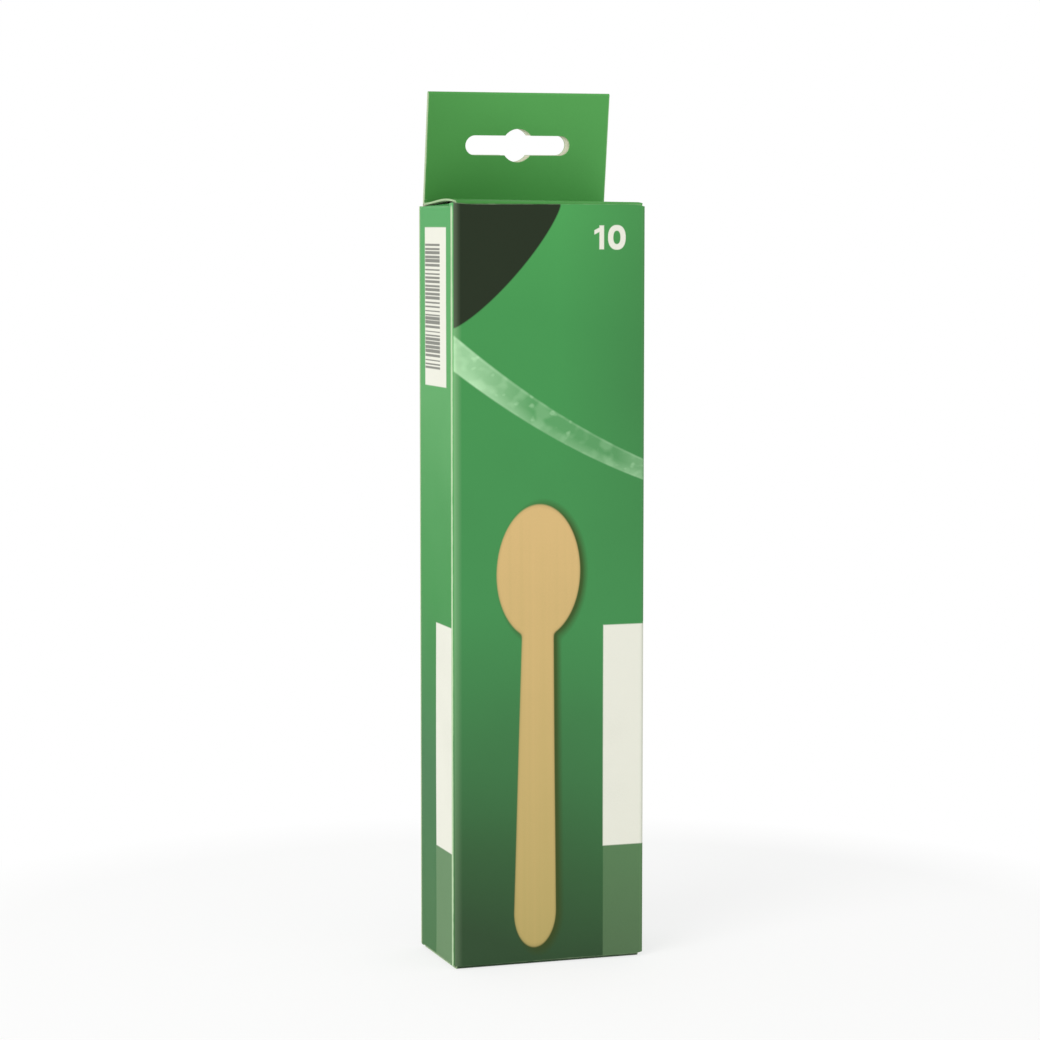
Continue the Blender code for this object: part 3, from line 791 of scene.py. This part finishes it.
def add_spoon(s, number, materials):
    """A grid of stations from tip to handle's end and of shares of the width, pressed and given the
    veneer's thickness, half to each side. Stations and shares follow a sine, so that they lie
    closer together where the outline turns most."""
    node = f"spoon_{number:02d}"
    low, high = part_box(node)
    quarter = np.linspace(0.03, 1, BOWL_ROWS) * np.pi / 2
    tip = s.bowl_tip * (1 - np.cos(quarter))
    heel = s.bowl_tip + s.bowl_heel * np.sin(quarter)
    end = s.spoon_length - s.handle / 2
    handle = stops([heel[-1], end], 2.0 * MM)[1:]
    round_end = end + s.handle / 2 * np.sin(np.linspace(0, 0.985, END_ROWS)[1:] * np.pi / 2)
    station = np.concatenate([tip, heel, handle, round_end])[::-1][:, None]
    spread = np.sin(np.linspace(-0.5, 0.5, SPOON_COLUMNS) * np.pi)[None]
    x = spoon_half_width(station, s) * spread
    y = high.y - s.veneer / 2 - spoon_depth(x, station, s)
    z = np.broadcast_to(low.z + s.spoon_length - station, x.shape)
    middle = np.stack([x, y, z], -1)
    board = Board()
    board.add(middle + normals(middle) * s.veneer / 2, s.veneer, 0.0, (0, 0, 1))
    spoon = board.build(f"veneer_{node}", materials)
    rounding = spoon.modifiers.new("stamped edge", "BEVEL")
    rounding.width, rounding.segments, rounding.limit_method = s.edge_round, 2, "ANGLE"
    rounding.angle_limit = STAMPED_TURN
    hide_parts(node)
    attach(spoon, "carton")


# Drawing with nodes.


class Field:
    """A value over a surface. Sums and products of fields add the nodes that work them out."""

    def __init__(self, sketch, socket):
        self.sketch, self.socket = sketch, socket

    def __add__(self, other):
        return self.sketch.math("ADD", self, other)

    def __sub__(self, other):
        return self.sketch.math("SUBTRACT", self, other)

    def __rsub__(self, other):
        return self.sketch.math("SUBTRACT", other, self)

    def __mul__(self, other):
        return self.sketch.math("MULTIPLY", self, other)

    def __truediv__(self, other):
        return self.sketch.math("DIVIDE", self, other)

    def __pow__(self, other):
        return self.sketch.math("POWER", self, other)

    def __abs__(self):
        return self.sketch.math("ABSOLUTE", self)

    __radd__, __rmul__ = __add__, __mul__

    def least(self, other):
        return self.sketch.math("MINIMUM", self, other)

    def most(self, other):
        return self.sketch.math("MAXIMUM", self, other)

    def held(self):
        """Held between 0 and 1."""
        return self.sketch.math("ADD", self, 0.0, clamp=True)

    def below(self, limit, soft):
        """1 where the field is below a limit and 0 above it, with a soft step between."""
        return ((limit - self) / soft + 0.5).held()

    def rise(self, start, stop):
        """Evenly from 0 where the field is at start to 1 where it is at stop."""
        return ((self - start) / (stop - start)).held()


class Sketch:
    """One tree of nodes. Each method adds a node and gives back what it puts out."""

    def __init__(self, tree):
        self.tree = tree

    def node(self, kind, **settings):
        node = self.tree.nodes.new(kind)
        for name, value in settings.items():
            setattr(node, name, value)
        return node

    def join(self, value, socket):
        if isinstance(value, Field):
            self.tree.links.new(value.socket, socket)
        elif hasattr(value, "__len__") and len(socket.default_value) == 4:
            socket.default_value = (*value[:3], 1.0)
        else:
            socket.default_value = value

    def math(self, operation, *values, clamp=False):
        node = self.node("ShaderNodeMath", operation=operation, use_clamp=clamp)
        for value, socket in zip(values, node.inputs):
            self.join(value, socket)
        return Field(self, node.outputs[0])

    def mix(self, amount, first, second):
        node = self.node("ShaderNodeMix", data_type="RGBA")
        for value, index in ((amount, 0), (first, 6), (second, 7)):
            self.join(value, node.inputs[index])
        return Field(self, node.outputs[2])

    def place(self):
        """Object coordinates as a vector, and as three fields in millimetres."""
        vector = self.node("ShaderNodeTexCoord").outputs["Object"]
        parts = self.node("ShaderNodeSeparateXYZ")
        self.tree.links.new(vector, parts.inputs[0])
        return Field(self, vector), [Field(self, part) * 1000.0 for part in parts.outputs]

    def stretch(self, vector, scale):
        node = self.node("ShaderNodeVectorMath", operation="MULTIPLY")
        self.join(vector, node.inputs[0])
        node.inputs[1].default_value = scale
        return Field(self, node.outputs[0])

    def noise(self, vector, scale, detail=2.0, rough=0.5):
        node = self.node("ShaderNodeTexNoise")
        self.join(vector, node.inputs["Vector"])
        node.inputs["Scale"].default_value = scale
        node.inputs["Detail"].default_value = detail
        node.inputs["Roughness"].default_value = rough
        return Field(self, node.outputs[0])

    def ramp(self, place, stops_and_colours):
        node = self.node("ShaderNodeValToRGB")
        self.join(place, node.inputs[0])
        elements = node.color_ramp.elements
        while len(elements) < len(stops_and_colours):
            elements.new(0.5)
        for element, (stop, tint) in zip(elements, stops_and_colours):
            element.position = stop
            element.color = (*tint[:3], 1.0)
        return Field(self, node.outputs[0])

    def use(self, group, **values):
        """A shared group's node with these values. Gives its outputs in order."""
        node = self.node("ShaderNodeGroup", node_tree=group)
        for name, value in values.items():
            self.join(value, node.inputs[name.replace("_", " ").capitalize()])
        return [Field(self, output) for output in node.outputs]


def seen(sketch):
    """1 where the camera looks, straight or by a reflection or a clear piece, and 0 for light."""
    light = sketch.node("ShaderNodeLightPath")
    eye = Field(sketch, light.outputs["Is Camera Ray"])
    for ray in ("Is Glossy Ray", "Is Transmission Ray"):
        eye = eye.most(Field(sketch, light.outputs[ray]))
    return eye


SOCKETS = {"value": "NodeSocketFloat", "vector": "NodeSocketVector"}


def shared_group(name, inputs, outputs, draw):
    """A group with these named sockets. draw gets a sketch and the inputs, and gives the outputs."""
    tree = bpy.data.node_groups.new(name, "ShaderNodeTree")
    for side, sockets in (("INPUT", inputs), ("OUTPUT", outputs)):
        for label, kind in sockets.items():
            tree.interface.new_socket(label, in_out=side, socket_type=SOCKETS[kind])
    sketch = Sketch(tree)
    entry = sketch.node("NodeGroupInput")
    leave = sketch.node("NodeGroupOutput")
    results = draw(sketch, *[Field(sketch, socket) for socket in entry.outputs[: len(inputs)]])
    for result, socket in zip(results, leave.inputs):
        sketch.join(result, socket)
    return tree


def draw_box(sketch, across, up, left, right, low, high, soft):
    """1 inside an upright rectangle, with soft sides."""
    x_in = ((across - left) / soft).least((right - across) / soft)
    z_in = ((up - low) / soft).least((high - up) / soft)
    return [(x_in.least(z_in) + 0.5).held()]


def draw_spoon_outline(sketch, across, up):
    """Distance from a spoon's outline, below 0 inside it, for a spoon of 101 mm whose bowl is
    widest at the origin: two half ovals joined to a strip that widens to an oval end."""
    over = sketch.math("GREATER_THAN", up, 0.0)
    reach = over * 0.7 + 15.1
    bowl = (sketch.math("SQRT", (across / 10.1) ** 2.0 + (abs(up) / reach) ** 2.0) - 1.0) * 10.1
    beyond = (-76.6 - up).most(0.0) * 0.61 + (up + 9.0).most(0.0)
    strip = sketch.math("SQRT", across * across + beyond * beyond) - (4.0 - (up + 16.0) * 0.0195)
    return [sketch.math("SMOOTH_MIN", bowl, strip, 0.9)]


def draw_fibres(sketch, vector):
    """Fine cloudy unevenness of printed board: a tone about 0.5, and a height for its surface."""
    broad = sketch.noise(vector, 60.0, 2.0)
    fine = sketch.noise(vector, 2600.0, 3.0, 0.6)
    return [broad * 0.6 + fine * 0.4, fine]


def draw_rubbing(sketch, wear, vector):
    """Where ink has rubbed off: the wear, broken up by noise of two scales along the fold."""
    patchy = sketch.noise(vector, 420.0, 3.0, 0.6)
    long_wave = sketch.noise(vector, 45.0, 1.0)
    strength = wear * (patchy * 0.9 + long_wave * 0.8 + 0.15)
    return [((strength - 0.22) * 1.9).held()]


def draw_grain(sketch, vector):
    """Wood grain along Z: wide bands, fine streaks and short pores, as a tone and a height."""
    bands = sketch.noise(sketch.stretch(vector, (240.0, 150.0, 6.0)), 1.0, 2.0)
    streaks = sketch.noise(sketch.stretch(vector, (1500.0, 1500.0, 22.0)), 1.0, 3.0, 0.6)
    pores = sketch.noise(sketch.stretch(vector, (4200.0, 4200.0, 130.0)), 1.0, 1.0)
    pitted = ((0.40 - pores) * 9.0).held()
    return [(bands * 0.75 + streaks * 0.55 - 0.12 + pitted * 0.3).held(), streaks - pitted * 0.8]


def make_groups():
    """The drawings that several materials share."""
    plane = {"Across": "value", "Up": "value"}
    sides = dict.fromkeys(("Left", "Right", "Low", "High", "Soft"), "value")
    return {
        "box": shared_group("Printed field", {**plane, **sides}, {"Mask": "value"}, draw_box),
        "spoon": shared_group("Spoon outline", plane, {"Distance": "value"}, draw_spoon_outline),
        "fibres": shared_group(
            "Board fibres", {"Vector": "vector"}, {"Tone": "value", "Height": "value"}, draw_fibres
        ),
        "rubbing": shared_group(
            "Rubbed folds", {"Wear": "value", "Vector": "vector"}, {"Mask": "value"}, draw_rubbing
        ),
        "grain": shared_group(
            "Wood grain", {"Vector": "vector"}, {"Tone": "value", "Height": "value"}, draw_grain
        ),
    }


# Print. All places are in millimetres: x from the front wall's middle, y behind the carton's
# middle, z above the shelf.

# The walls' height, half the front wall's width, and the front wall's y.
WALL_MM, HALF_MM, FRONT_MM = 170.8, 22.7, -12.74
# Fields that run past a wall's foot or round its fold end here, outside the wall.
BELOW_FOOT, PAST_FOLD = -5.0, 40.0
LABEL_FOOT = 26.2

# Fields by their left, right, low and high sides.
FRONT_LABEL = (12.85, PAST_FOLD, LABEL_FOOT, 76.7)
FRONT_VEIL = (12.9, PAST_FOLD, BELOW_FOOT, LABEL_FOOT)
STROKE_FIELD = (-8.0, 7.9, 130.6, 166.1)
STROKES = (-3.3, 7.7, 134.4, 162.6)
STEM = (11.7, 12.8, 161.2, 166.5)
FLAG = (10.5, 12.4, 163.7, 166.5)

# Greens by their share of the wall's height.
FRONT_TONES = {
    0.02: "green_foot",
    0.13: "green_low",
    0.24: "green_lower",
    0.47: "green_middle",
    0.86: "green_high",
    1.0: "green_top",
}
SIDE_TONES = {
    0.0: "side_foot",
    0.25: "side_low",
    0.5: "side_middle",
    0.75: "side_high",
    1.0: "side_top",
}


def soft_box(sketch, groups, across, up, left, right, low, high, soft=0.25):
    """A printed rectangle's mask on a wall."""
    sides = dict(left=left, right=right, low=low, high=high, soft=soft)
    return sketch.use(groups["box"], across=across, up=up, **sides)[0]


def ground(sketch, c, vector, up, tones):
    """The wall's green, darker towards its foot, with faint wide clouds."""
    clouds = (sketch.noise(vector, 26.0, 1.0) - 0.5) * 0.10
    greens = [(stop, getattr(c, name)) for stop, name in tones.items()]
    return sketch.ramp(up / WALL_MM + clouds, greens)


def number_ten(sketch, groups, x, z):
    """A plain 1 and 0: a bar with a slanted flag, and a ring between two ovals that are a little
    fuller than ellipses."""
    stem = soft_box(sketch, groups, x, z, *STEM, 0.2)
    slant = abs(z - (x - 11.4) * 0.5 - 165.4).below(0.48, 0.2)
    flag = slant * soft_box(sketch, groups, x, z, *FLAG, 0.2)
    middle_x, middle_z, fullness = 15.85, 163.85, 2.3

    def oval(half_width, half_height):
        wide = (abs(x - middle_x) / half_width) ** fullness
        return wide + (abs(z - middle_z) / half_height) ** fullness

    ring = oval(2.1, 2.75).below(1.0, 0.16) * (1.0 - oval(0.85, 1.5).below(1.0, 0.35))
    return stem.most(flag).most(ring)


def ribbon(sketch, c, vector, x, z, tint):
    """A light band along a parabola that falls to the right, where the band is narrower. Its film
    is denser at both ends, in its lower half and in drops and glints, which are noise above a
    level. A thin line runs inside its upper edge."""
    middle = x * x * 0.0042 - x * 0.5955 + 122.95
    half_width = 3.15 - x * 0.035
    beside = (z - middle) / half_width
    wet = sketch.stretch(vector, (260.0, 1.0, 340.0))
    drops = ((sketch.noise(wet, 1.0, 1.0) - 0.5) * 7.0).held()
    glints = ((sketch.noise(sketch.stretch(wet, (1.4, 1.0, 1.4)), 1.0, 1.0) - 0.63) * 8.0).held()
    ends = x.rise(-4.0, -18.0) * 0.42 + x.rise(16.0, 20.0) * 0.12 + 0.10
    lower = beside.rise(-0.1, -1.1) * 0.2
    film = abs(beside).below(1.0, 0.12) * (ends + lower + drops * 0.12 + glints * 0.24)
    upper_edge = abs(beside - 0.88).below(0.06, 0.16) * 0.12
    return sketch.mix((film + upper_edge).held(), tint, c.ribbon)


def pictured_spoon(sketch, groups, c, vector, x, z, tint):
    """A spoon, tilted a little, with fine streaks, a darker line inside its edge, and a soft shadow
    to its right."""
    spoon_x, spoon_z, tilt = -2.62, 89.0, 0.0102
    shade_x, shade_z = 0.9, -0.4
    across, up = x - spoon_x - (z - spoon_z) * tilt, z - spoon_z
    shade = sketch.use(groups["spoon"], across=across - shade_x, up=up - shade_z)[0]
    tint = sketch.mix(shade.below(0.15, 1.5) * 0.85, tint, c.shade)
    edge = sketch.use(groups["spoon"], across=across, up=up)[0]
    streaks = sketch.noise(sketch.stretch(vector, (700.0, 1.0, 9.0)), 1.0, 2.0)
    along = z / 105.0 + (streaks - 0.5) * 0.35
    wood = sketch.ramp(along, [(0.0, c.wood_foot), (0.95, c.wood_top)])
    wood = sketch.mix(abs(edge + 0.45).below(0.15, 0.4) * 0.12, wood, c.shade)
    return sketch.mix(edge.below(-0.25, 0.3), tint, wood)


def front_print(sketch, groups, c, vector, place):
    """Green ground, duller at the upper right, with a ribbon, a pale label, a pictured spoon, a
    number and a dark corner. The corner's outline is an ellipse's with a lower power, about the
    wall's own upper corner. A painted sheen lies pale beside the left fold, less over the dark
    corner and towards the foot, and painted shade greys a thin strip beside the right one."""
    x, _, z = place
    tint = ground(sketch, c, vector, z + x * 0.2, FRONT_TONES)
    duller = x.rise(2.0, 2.0 + HALF_MM) * z.rise(70.0, 130.0)
    tint = sketch.mix(duller * 0.30, tint, c.green_foot)
    tint = ribbon(sketch, c, vector, x, z, tint)
    tint = sketch.mix(soft_box(sketch, groups, x, z, *FRONT_VEIL) * 0.41, tint, c.veil)
    tint = sketch.mix(soft_box(sketch, groups, x, z, *FRONT_LABEL), tint, c.label)
    tint = pictured_spoon(sketch, groups, c, vector, x, z, tint)

    corner_width, corner_height, power = 25.2, 27.0, 1.25
    across = ((x + HALF_MM) / corner_width).most(0.0) ** power
    down = ((WALL_MM - z) / corner_height).most(0.0) ** power
    dark = (across + down).below(1.0, 0.018)
    tint = sketch.mix(dark, tint, c.corner)
    tint = sketch.mix(number_ten(sketch, groups, x, z), tint, c.label)

    # Painted sheen: the ground turns paler beside the left fold, less over the dark corner and
    # towards the foot.
    from_fold = x + dark * 0.24
    fold_sheen = from_fold.rise(-20.55, -21.45) * 0.145 + from_fold.rise(-21.2, -22.4) * 0.1
    fading = (z.rise(20.0, 100.0) * 0.5 + 0.5) * (1.0 - dark * 0.44)
    tint = sketch.mix(fold_sheen * fading, tint, c.worn)
    # Painted shade: a thin greyer strip along the right fold, in the veil's colour.
    return sketch.mix(x.rise(21.6, 22.6) * 0.25, tint, c.veil)


def side_print(sketch, groups, c, vector, place, start):
    """Green ground, and the pale label with the light field under it. Both begin at start, in
    millimetres behind the front wall, and end near the side wall's middle."""
    _, y, z = place
    behind = y - FRONT_MM
    tint = ground(sketch, c, vector, z, SIDE_TONES)
    veil = soft_box(sketch, groups, behind, z, start, 13.2, BELOW_FOOT, LABEL_FOOT)
    tint = sketch.mix(veil * 0.54, tint, c.veil)
    label = soft_box(sketch, groups, behind, z, start, 13.0, LABEL_FOOT, 77.2)
    return sketch.mix(label, tint, c.label)


def left_print(sketch, groups, c, vector, place):
    """The side's print, a pale field of dark strokes, and a paler strip beside the back wall.
    There is one stroke in each step of height. It fills a random share of the step."""
    tint = side_print(sketch, groups, c, vector, place, 0.7)
    _, y, z = place
    tint = sketch.mix(soft_box(sketch, groups, y, z, *STROKE_FIELD), tint, c.label)
    node = sketch.node("ShaderNodeTexWhiteNoise", noise_dimensions="1D")
    step = 0.92
    count = z / step
    whole = sketch.math("FLOOR", count)
    sketch.join(whole, node.inputs["W"])
    filled = Field(sketch, node.outputs["Value"]) * 0.62 + 0.26
    strokes = (count - whole).below(filled, 0.16) * soft_box(sketch, groups, y, z, *STROKES, 0.2)
    tint = sketch.mix(strokes * 0.78, tint, c.bars)
    return sketch.mix(y.rise(10.9, 12.5) * 0.16, tint, c.worn)


def right_print(sketch, groups, c, vector, place):
    """The side's print, with the front wall's label carried round the fold."""
    return side_print(sketch, groups, c, vector, place, -5.0)


def back_print(sketch, groups, c, vector, place):
    """Green ground alone."""
    return ground(sketch, c, vector, place[2], FRONT_TONES)


def plain_print(sketch, groups, c, vector, place):
    """The green of the hang tab and the top lid, with painted shade: darker towards the left and
    the tab's foot, where shade falls, and lighter towards the tab's upper right.
    """
    x, _, z = place
    # Painted shade: the green darkens where this share is low, at the tab's lower left, where shade
    # falls.
    light = (z - 171.0) / 52.0 + x / 60.0 + 0.50
    clouds = (sketch.noise(vector, 40.0, 1.0) - 0.5) * 0.35
    return sketch.ramp((light + clouds).held(), [(0.0, c.tab_painted_shade), (1.0, c.tab_light)])


def bump(sketch, height, strength, distance):
    """Directions of a surface that rises and falls with a field, by up to a distance in metres."""
    node = sketch.node("ShaderNodeBump")
    node.inputs["Strength"].default_value = strength
    node.inputs["Distance"].default_value = distance
    sketch.join(height, node.inputs["Height"])
    return Field(sketch, node.outputs[0])


def new_material(name, roughness, specular):
    """A material, its Principled shader and the sketch of its tree."""
    material = bpy.data.materials.new(name)
    material.use_nodes = True
    shader = material.node_tree.nodes["Principled BSDF"]
    shader.inputs["Roughness"].default_value = roughness
    shader.inputs["Specular IOR Level"].default_value = specular
    return material, shader, Sketch(material.node_tree)


def printed_material(name, groups, c, draw):
    """Ink under a satin varnish, rubbed off along folds and cut edges."""
    material, shader, sketch = new_material(name, 0.5, 0.15)
    vector, place = sketch.place()
    tint = draw(sketch, groups, c, vector, place)
    tone, height = sketch.use(groups["fibres"], vector=vector)
    tint = sketch.mix((tone - 0.5).held() * 0.25, tint, c.green_foot)
    worn = Field(sketch, sketch.node("ShaderNodeAttribute", attribute_name="wear").outputs["Fac"])
    rubbed = sketch.use(groups["rubbing"], wear=worn, vector=vector)[0]
    sketch.join(sketch.mix(rubbed, tint, c.worn), shader.inputs["Base Color"])
    sketch.join(tone * 0.16 + rubbed * 0.3 + 0.44, shader.inputs["Roughness"])
    sketch.join(bump(sketch, height, 0.12, 0.00003), shader.inputs["Normal"])
    return material


def bare_material(name, groups, tint, dark, layers):
    """Uncoated board: fibres, and on a cut edge fine dark lines between its layers."""
    material, shader, sketch = new_material(name, 0.85, 0.3)
    vector, place = sketch.place()
    tone, height = sketch.use(groups["fibres"], vector=vector)
    specks = sketch.noise(vector, 900.0 * layers, 2.0, 0.7)
    shaded = [value * dark for value in tint]
    amount = ((specks - 0.42) * 2.2).held() * 0.55 + (tone - 0.4) * 0.3
    sketch.join(sketch.mix(amount.held(), tint, shaded), shader.inputs["Base Color"])
    sketch.join(tone * 0.2 + 0.72, shader.inputs["Roughness"])
    sketch.join(bump(sketch, height, 0.35, 0.00005), shader.inputs["Normal"])
    return material


def wood_material(name, groups, s, end_grain):
    """Unvarnished veneer: grain along the spoon, darker where the stamp crushed its edge."""
    material, shader, sketch = new_material(name, 0.6, 0.35)
    vector, _ = sketch.place()
    tone, height = sketch.use(groups["grain"], vector=vector)
    tint = sketch.mix((tone + end_grain).held(), s.pale, s.dark)
    sketch.join(tint, shader.inputs["Base Color"])
    sketch.join(tone * 0.2 + 0.5, shader.inputs["Roughness"])
    sketch.join(bump(sketch, height, 0.3, 0.00008), shader.inputs["Normal"])
    return material


# Operators.

MADE = {}


def chosen(*names):
    """Materials by name. All of them are made once, when the first piece needs one."""
    if not MADE:
        scene = bpy.context.scene
        c, s = scene.carton_print, scene.carton_spoons
        groups = make_groups()
        for draw in (front_print, left_print, right_print, back_print, plain_print):
            name = draw.__name__
            MADE[name.removesuffix("_print")] = printed_material(name, groups, c, draw)
        MADE["bare"] = bare_material("bare_board", groups, c.inside, 0.82, 1.0)
        MADE["edge"] = bare_material("cut_edge", groups, c.edge, 0.6, 3.0)
        MADE["wood"] = wood_material("pressed_veneer", groups, s, 0.0)
        MADE["wood_edge"] = wood_material("stamped_edge", groups, s, 0.25)
    return [MADE[name] for name in names]


class CARTON_OT_sleeve(bpy.types.Operator):
    """Folds the printed sleeve with its dust flaps, glue flap and hang tab"""

    bl_idname = "carton.sleeve"
    bl_label = "Fold the sleeve"

    def execute(self, context):
        s = context.scene.carton_board
        board = Board()
        add_walls(board, s)
        add_dust_flaps(board, s)
        add_tab(board, s)
        sleeve = board.build(
            "sleeve_board", chosen("front", "left", "right", "back", "plain", "bare", "edge")
        )
        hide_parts("carton_sleeve")
        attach(sleeve, "carton")
        return {"FINISHED"}


class CARTON_OT_lids(bpy.types.Operator):
    """Makes both lids with their tucks, and the creases that they turn on"""

    bl_idname = "carton.lids"
    bl_label = "Make the lids"

    def execute(self, context):
        s = context.scene.carton_board
        printed, dark_print = chosen("plain", "bare", "edge"), chosen("back", "bare", "edge")
        for body, (line, bow), outwards, materials in (
            ("top_lid", top_lid_line(s), 1, printed),
            ("bottom_lid", bottom_lid_line(s), -1, dark_print),
        ):
            hinge = HINGES[f"{body}_hinge"]
            lid = add_lid(f"{body}_board", s, line, bow, hinge, outwards, materials)
            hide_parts(body)
            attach(lid, body)
        top, bottom = top_crease_line(s), bottom_crease_line(s)
        # The last pair are two points of the line.
        for body, line, way, materials, bends in (
            ("top_lid", top, -1, printed, (2, len(top) // 2 + 3)),
            ("bottom_lid", bottom, 1, dark_print, (1, -1)),
        ):
            crease(f"{body}_crease", s, line, way, materials)
        return {"FINISHED"}


class CARTON_OT_spoons(bpy.types.Operator):
    """Presses the nested wooden spoons"""

    bl_idname = "carton.spoons"
    bl_label = "Press the spoons"

    def execute(self, context):
        s = context.scene.carton_spoons
        for number in range(1, s.count + 1):
            add_spoon(s, number, chosen("wood", "wood_edge"))
        return {"FINISHED"}


class CARTON_OT_stage(bpy.types.Operator):
    """Sets up the white floor, the soft light and the camera"""

    bl_idname = "carton.stage"
    bl_label = "Set up the stage"

    def execute(self, context):
        s = context.scene.carton_stage
        add_floor(s)
        add_light(s)
        add_camera(s)
        context.scene.view_settings.view_transform = "Standard"
        return {"FINISHED"}


def add_floor(s):
    """A round floor as a grid of rings. The camera sees some of its own shading near the carton,
    and plain white further out, so that it keeps the shadow and meets the white behind it."""
    ring = np.array([0.0005, 0.05, 0.1, 0.2, 0.35, 0.6, 1.2, 2.5, 6.0])[:, None]
    turn = np.linspace(0, 2 * np.pi, 65)[None, :-1]
    x, y = ring * np.cos(turn), ring * np.sin(turn)
    index = np.arange(x.size).reshape(x.shape)
    index = np.concatenate([index, index[:, :1]], 1)
    points = np.stack([x, y, np.zeros_like(x)], -1).reshape(-1, 3)
    mesh = new_mesh("floor", points, quads(index)[:, ::-1])
    floor = in_scene("floor", mesh)
    material, shader, sketch = new_material("floor", 0.9, 0.2)
    shader.inputs["Base Color"].default_value = (*s.floor, 1.0)
    white = sketch.node("ShaderNodeEmission")
    white.inputs["Color"].default_value = (1, 1, 1, 1)
    white.inputs["Strength"].default_value = 1.0
    _, place = sketch.place()
    from_middle = sketch.math("SQRT", place[0] * place[0] + place[1] * place[1])
    plain = from_middle.rise(40.0, 170.0).most(1.0 - s.shadow)
    blend = sketch.node("ShaderNodeMixShader")
    sketch.join(seen(sketch) * plain, blend.inputs[0])
    sketch.tree.links.new(shader.outputs[0], blend.inputs[1])
    sketch.tree.links.new(white.outputs[0], blend.inputs[2])
    output = sketch.tree.nodes["Material Output"]
    sketch.tree.links.new(blend.outputs[0], output.inputs["Surface"])
    mesh.materials.append(material)


def add_light(s):
    """An even white surround, white where the camera or a reflection meets it, and a soft lamp."""
    world = bpy.data.worlds.new("white_room")
    bpy.context.scene.world = world
    world.use_nodes = True
    sketch = Sketch(world.node_tree)
    world.node_tree.nodes.clear()
    background = sketch.node("ShaderNodeBackground")
    background.inputs["Color"].default_value = (1, 1, 1, 1)
    sketch.join(seen(sketch) * (1.0 - s.sky) + s.sky, background.inputs["Strength"])
    output = sketch.node("ShaderNodeOutputWorld")
    sketch.tree.links.new(background.outputs[0], output.inputs["Surface"])

    lamp = bpy.data.lights.new("key_lamp", "AREA")
    lamp.shape, lamp.size, lamp.energy = "DISK", 0.9, s.key
    key = in_scene("key_lamp", lamp)
    place, target = np.array([-1.0, -0.75, 0.75]), np.array([0, 0, 0.1])
    aim = target - place
    key.location = place
    tilt = math.atan2(math.hypot(aim[0], aim[1]), -aim[2])
    key.rotation_euler = (tilt, 0, math.atan2(-aim[0], aim[1]))


def add_camera(s):
    """A camera in front of the carton, to its left, about as high as the walls' upper edge."""
    lens = bpy.data.cameras.new("camera")
    lens.lens, lens.sensor_width = s.lens, 36.0
    lens.clip_start, lens.clip_end = 0.05, 30.0
    camera = in_scene("camera", lens)
    camera.location = (s.eye_x, s.eye_y, s.eye_z)
    camera.rotation_euler = (math.pi / 2 - s.pitch, 0, -s.yaw)
    bpy.context.scene.camera = camera


class CARTON_PT_panel(bpy.types.Panel):
    """Lists the pieces of the carton"""

    bl_idname = "CARTON_PT_panel"
    bl_label = "Wooden cutlery carton"
    bl_space_type = "VIEW_3D"
    bl_region_type = "UI"
    bl_category = "Carton"

    def draw(self, context):
        for operator in OPERATORS:
            self.layout.operator(operator.bl_idname)
        for name in SETTINGS:
            box = self.layout.box()
            settings = getattr(context.scene, name)
            for field in settings.bl_rna.properties.keys():
                if field not in ("rna_type", "name"):
                    box.prop(settings, field)


SETTINGS = {
    "carton_board": BoardSizes,
    "carton_print": PrintColours,
    "carton_spoons": SpoonSizes,
    "carton_stage": StageSettings,
}
OPERATORS = (CARTON_OT_sleeve, CARTON_OT_lids, CARTON_OT_spoons, CARTON_OT_stage)
CLASSES = (*SETTINGS.values(), *OPERATORS, CARTON_PT_panel)


def register():
    for cls in CLASSES:
        bpy.utils.register_class(cls)
    for name, settings in SETTINGS.items():
        setattr(bpy.types.Scene, name, PointerProperty(type=settings))


def unregister():
    for name in SETTINGS:
        delattr(bpy.types.Scene, name)
    for cls in reversed(CLASSES):
        bpy.utils.unregister_class(cls)


def main():
    """Builds every piece and the stage."""
    register()
    bpy.ops.carton.sleeve()
    bpy.ops.carton.lids()
    bpy.ops.carton.spoons()
    bpy.ops.carton.stage()


if __name__ == "__main__":
    main()
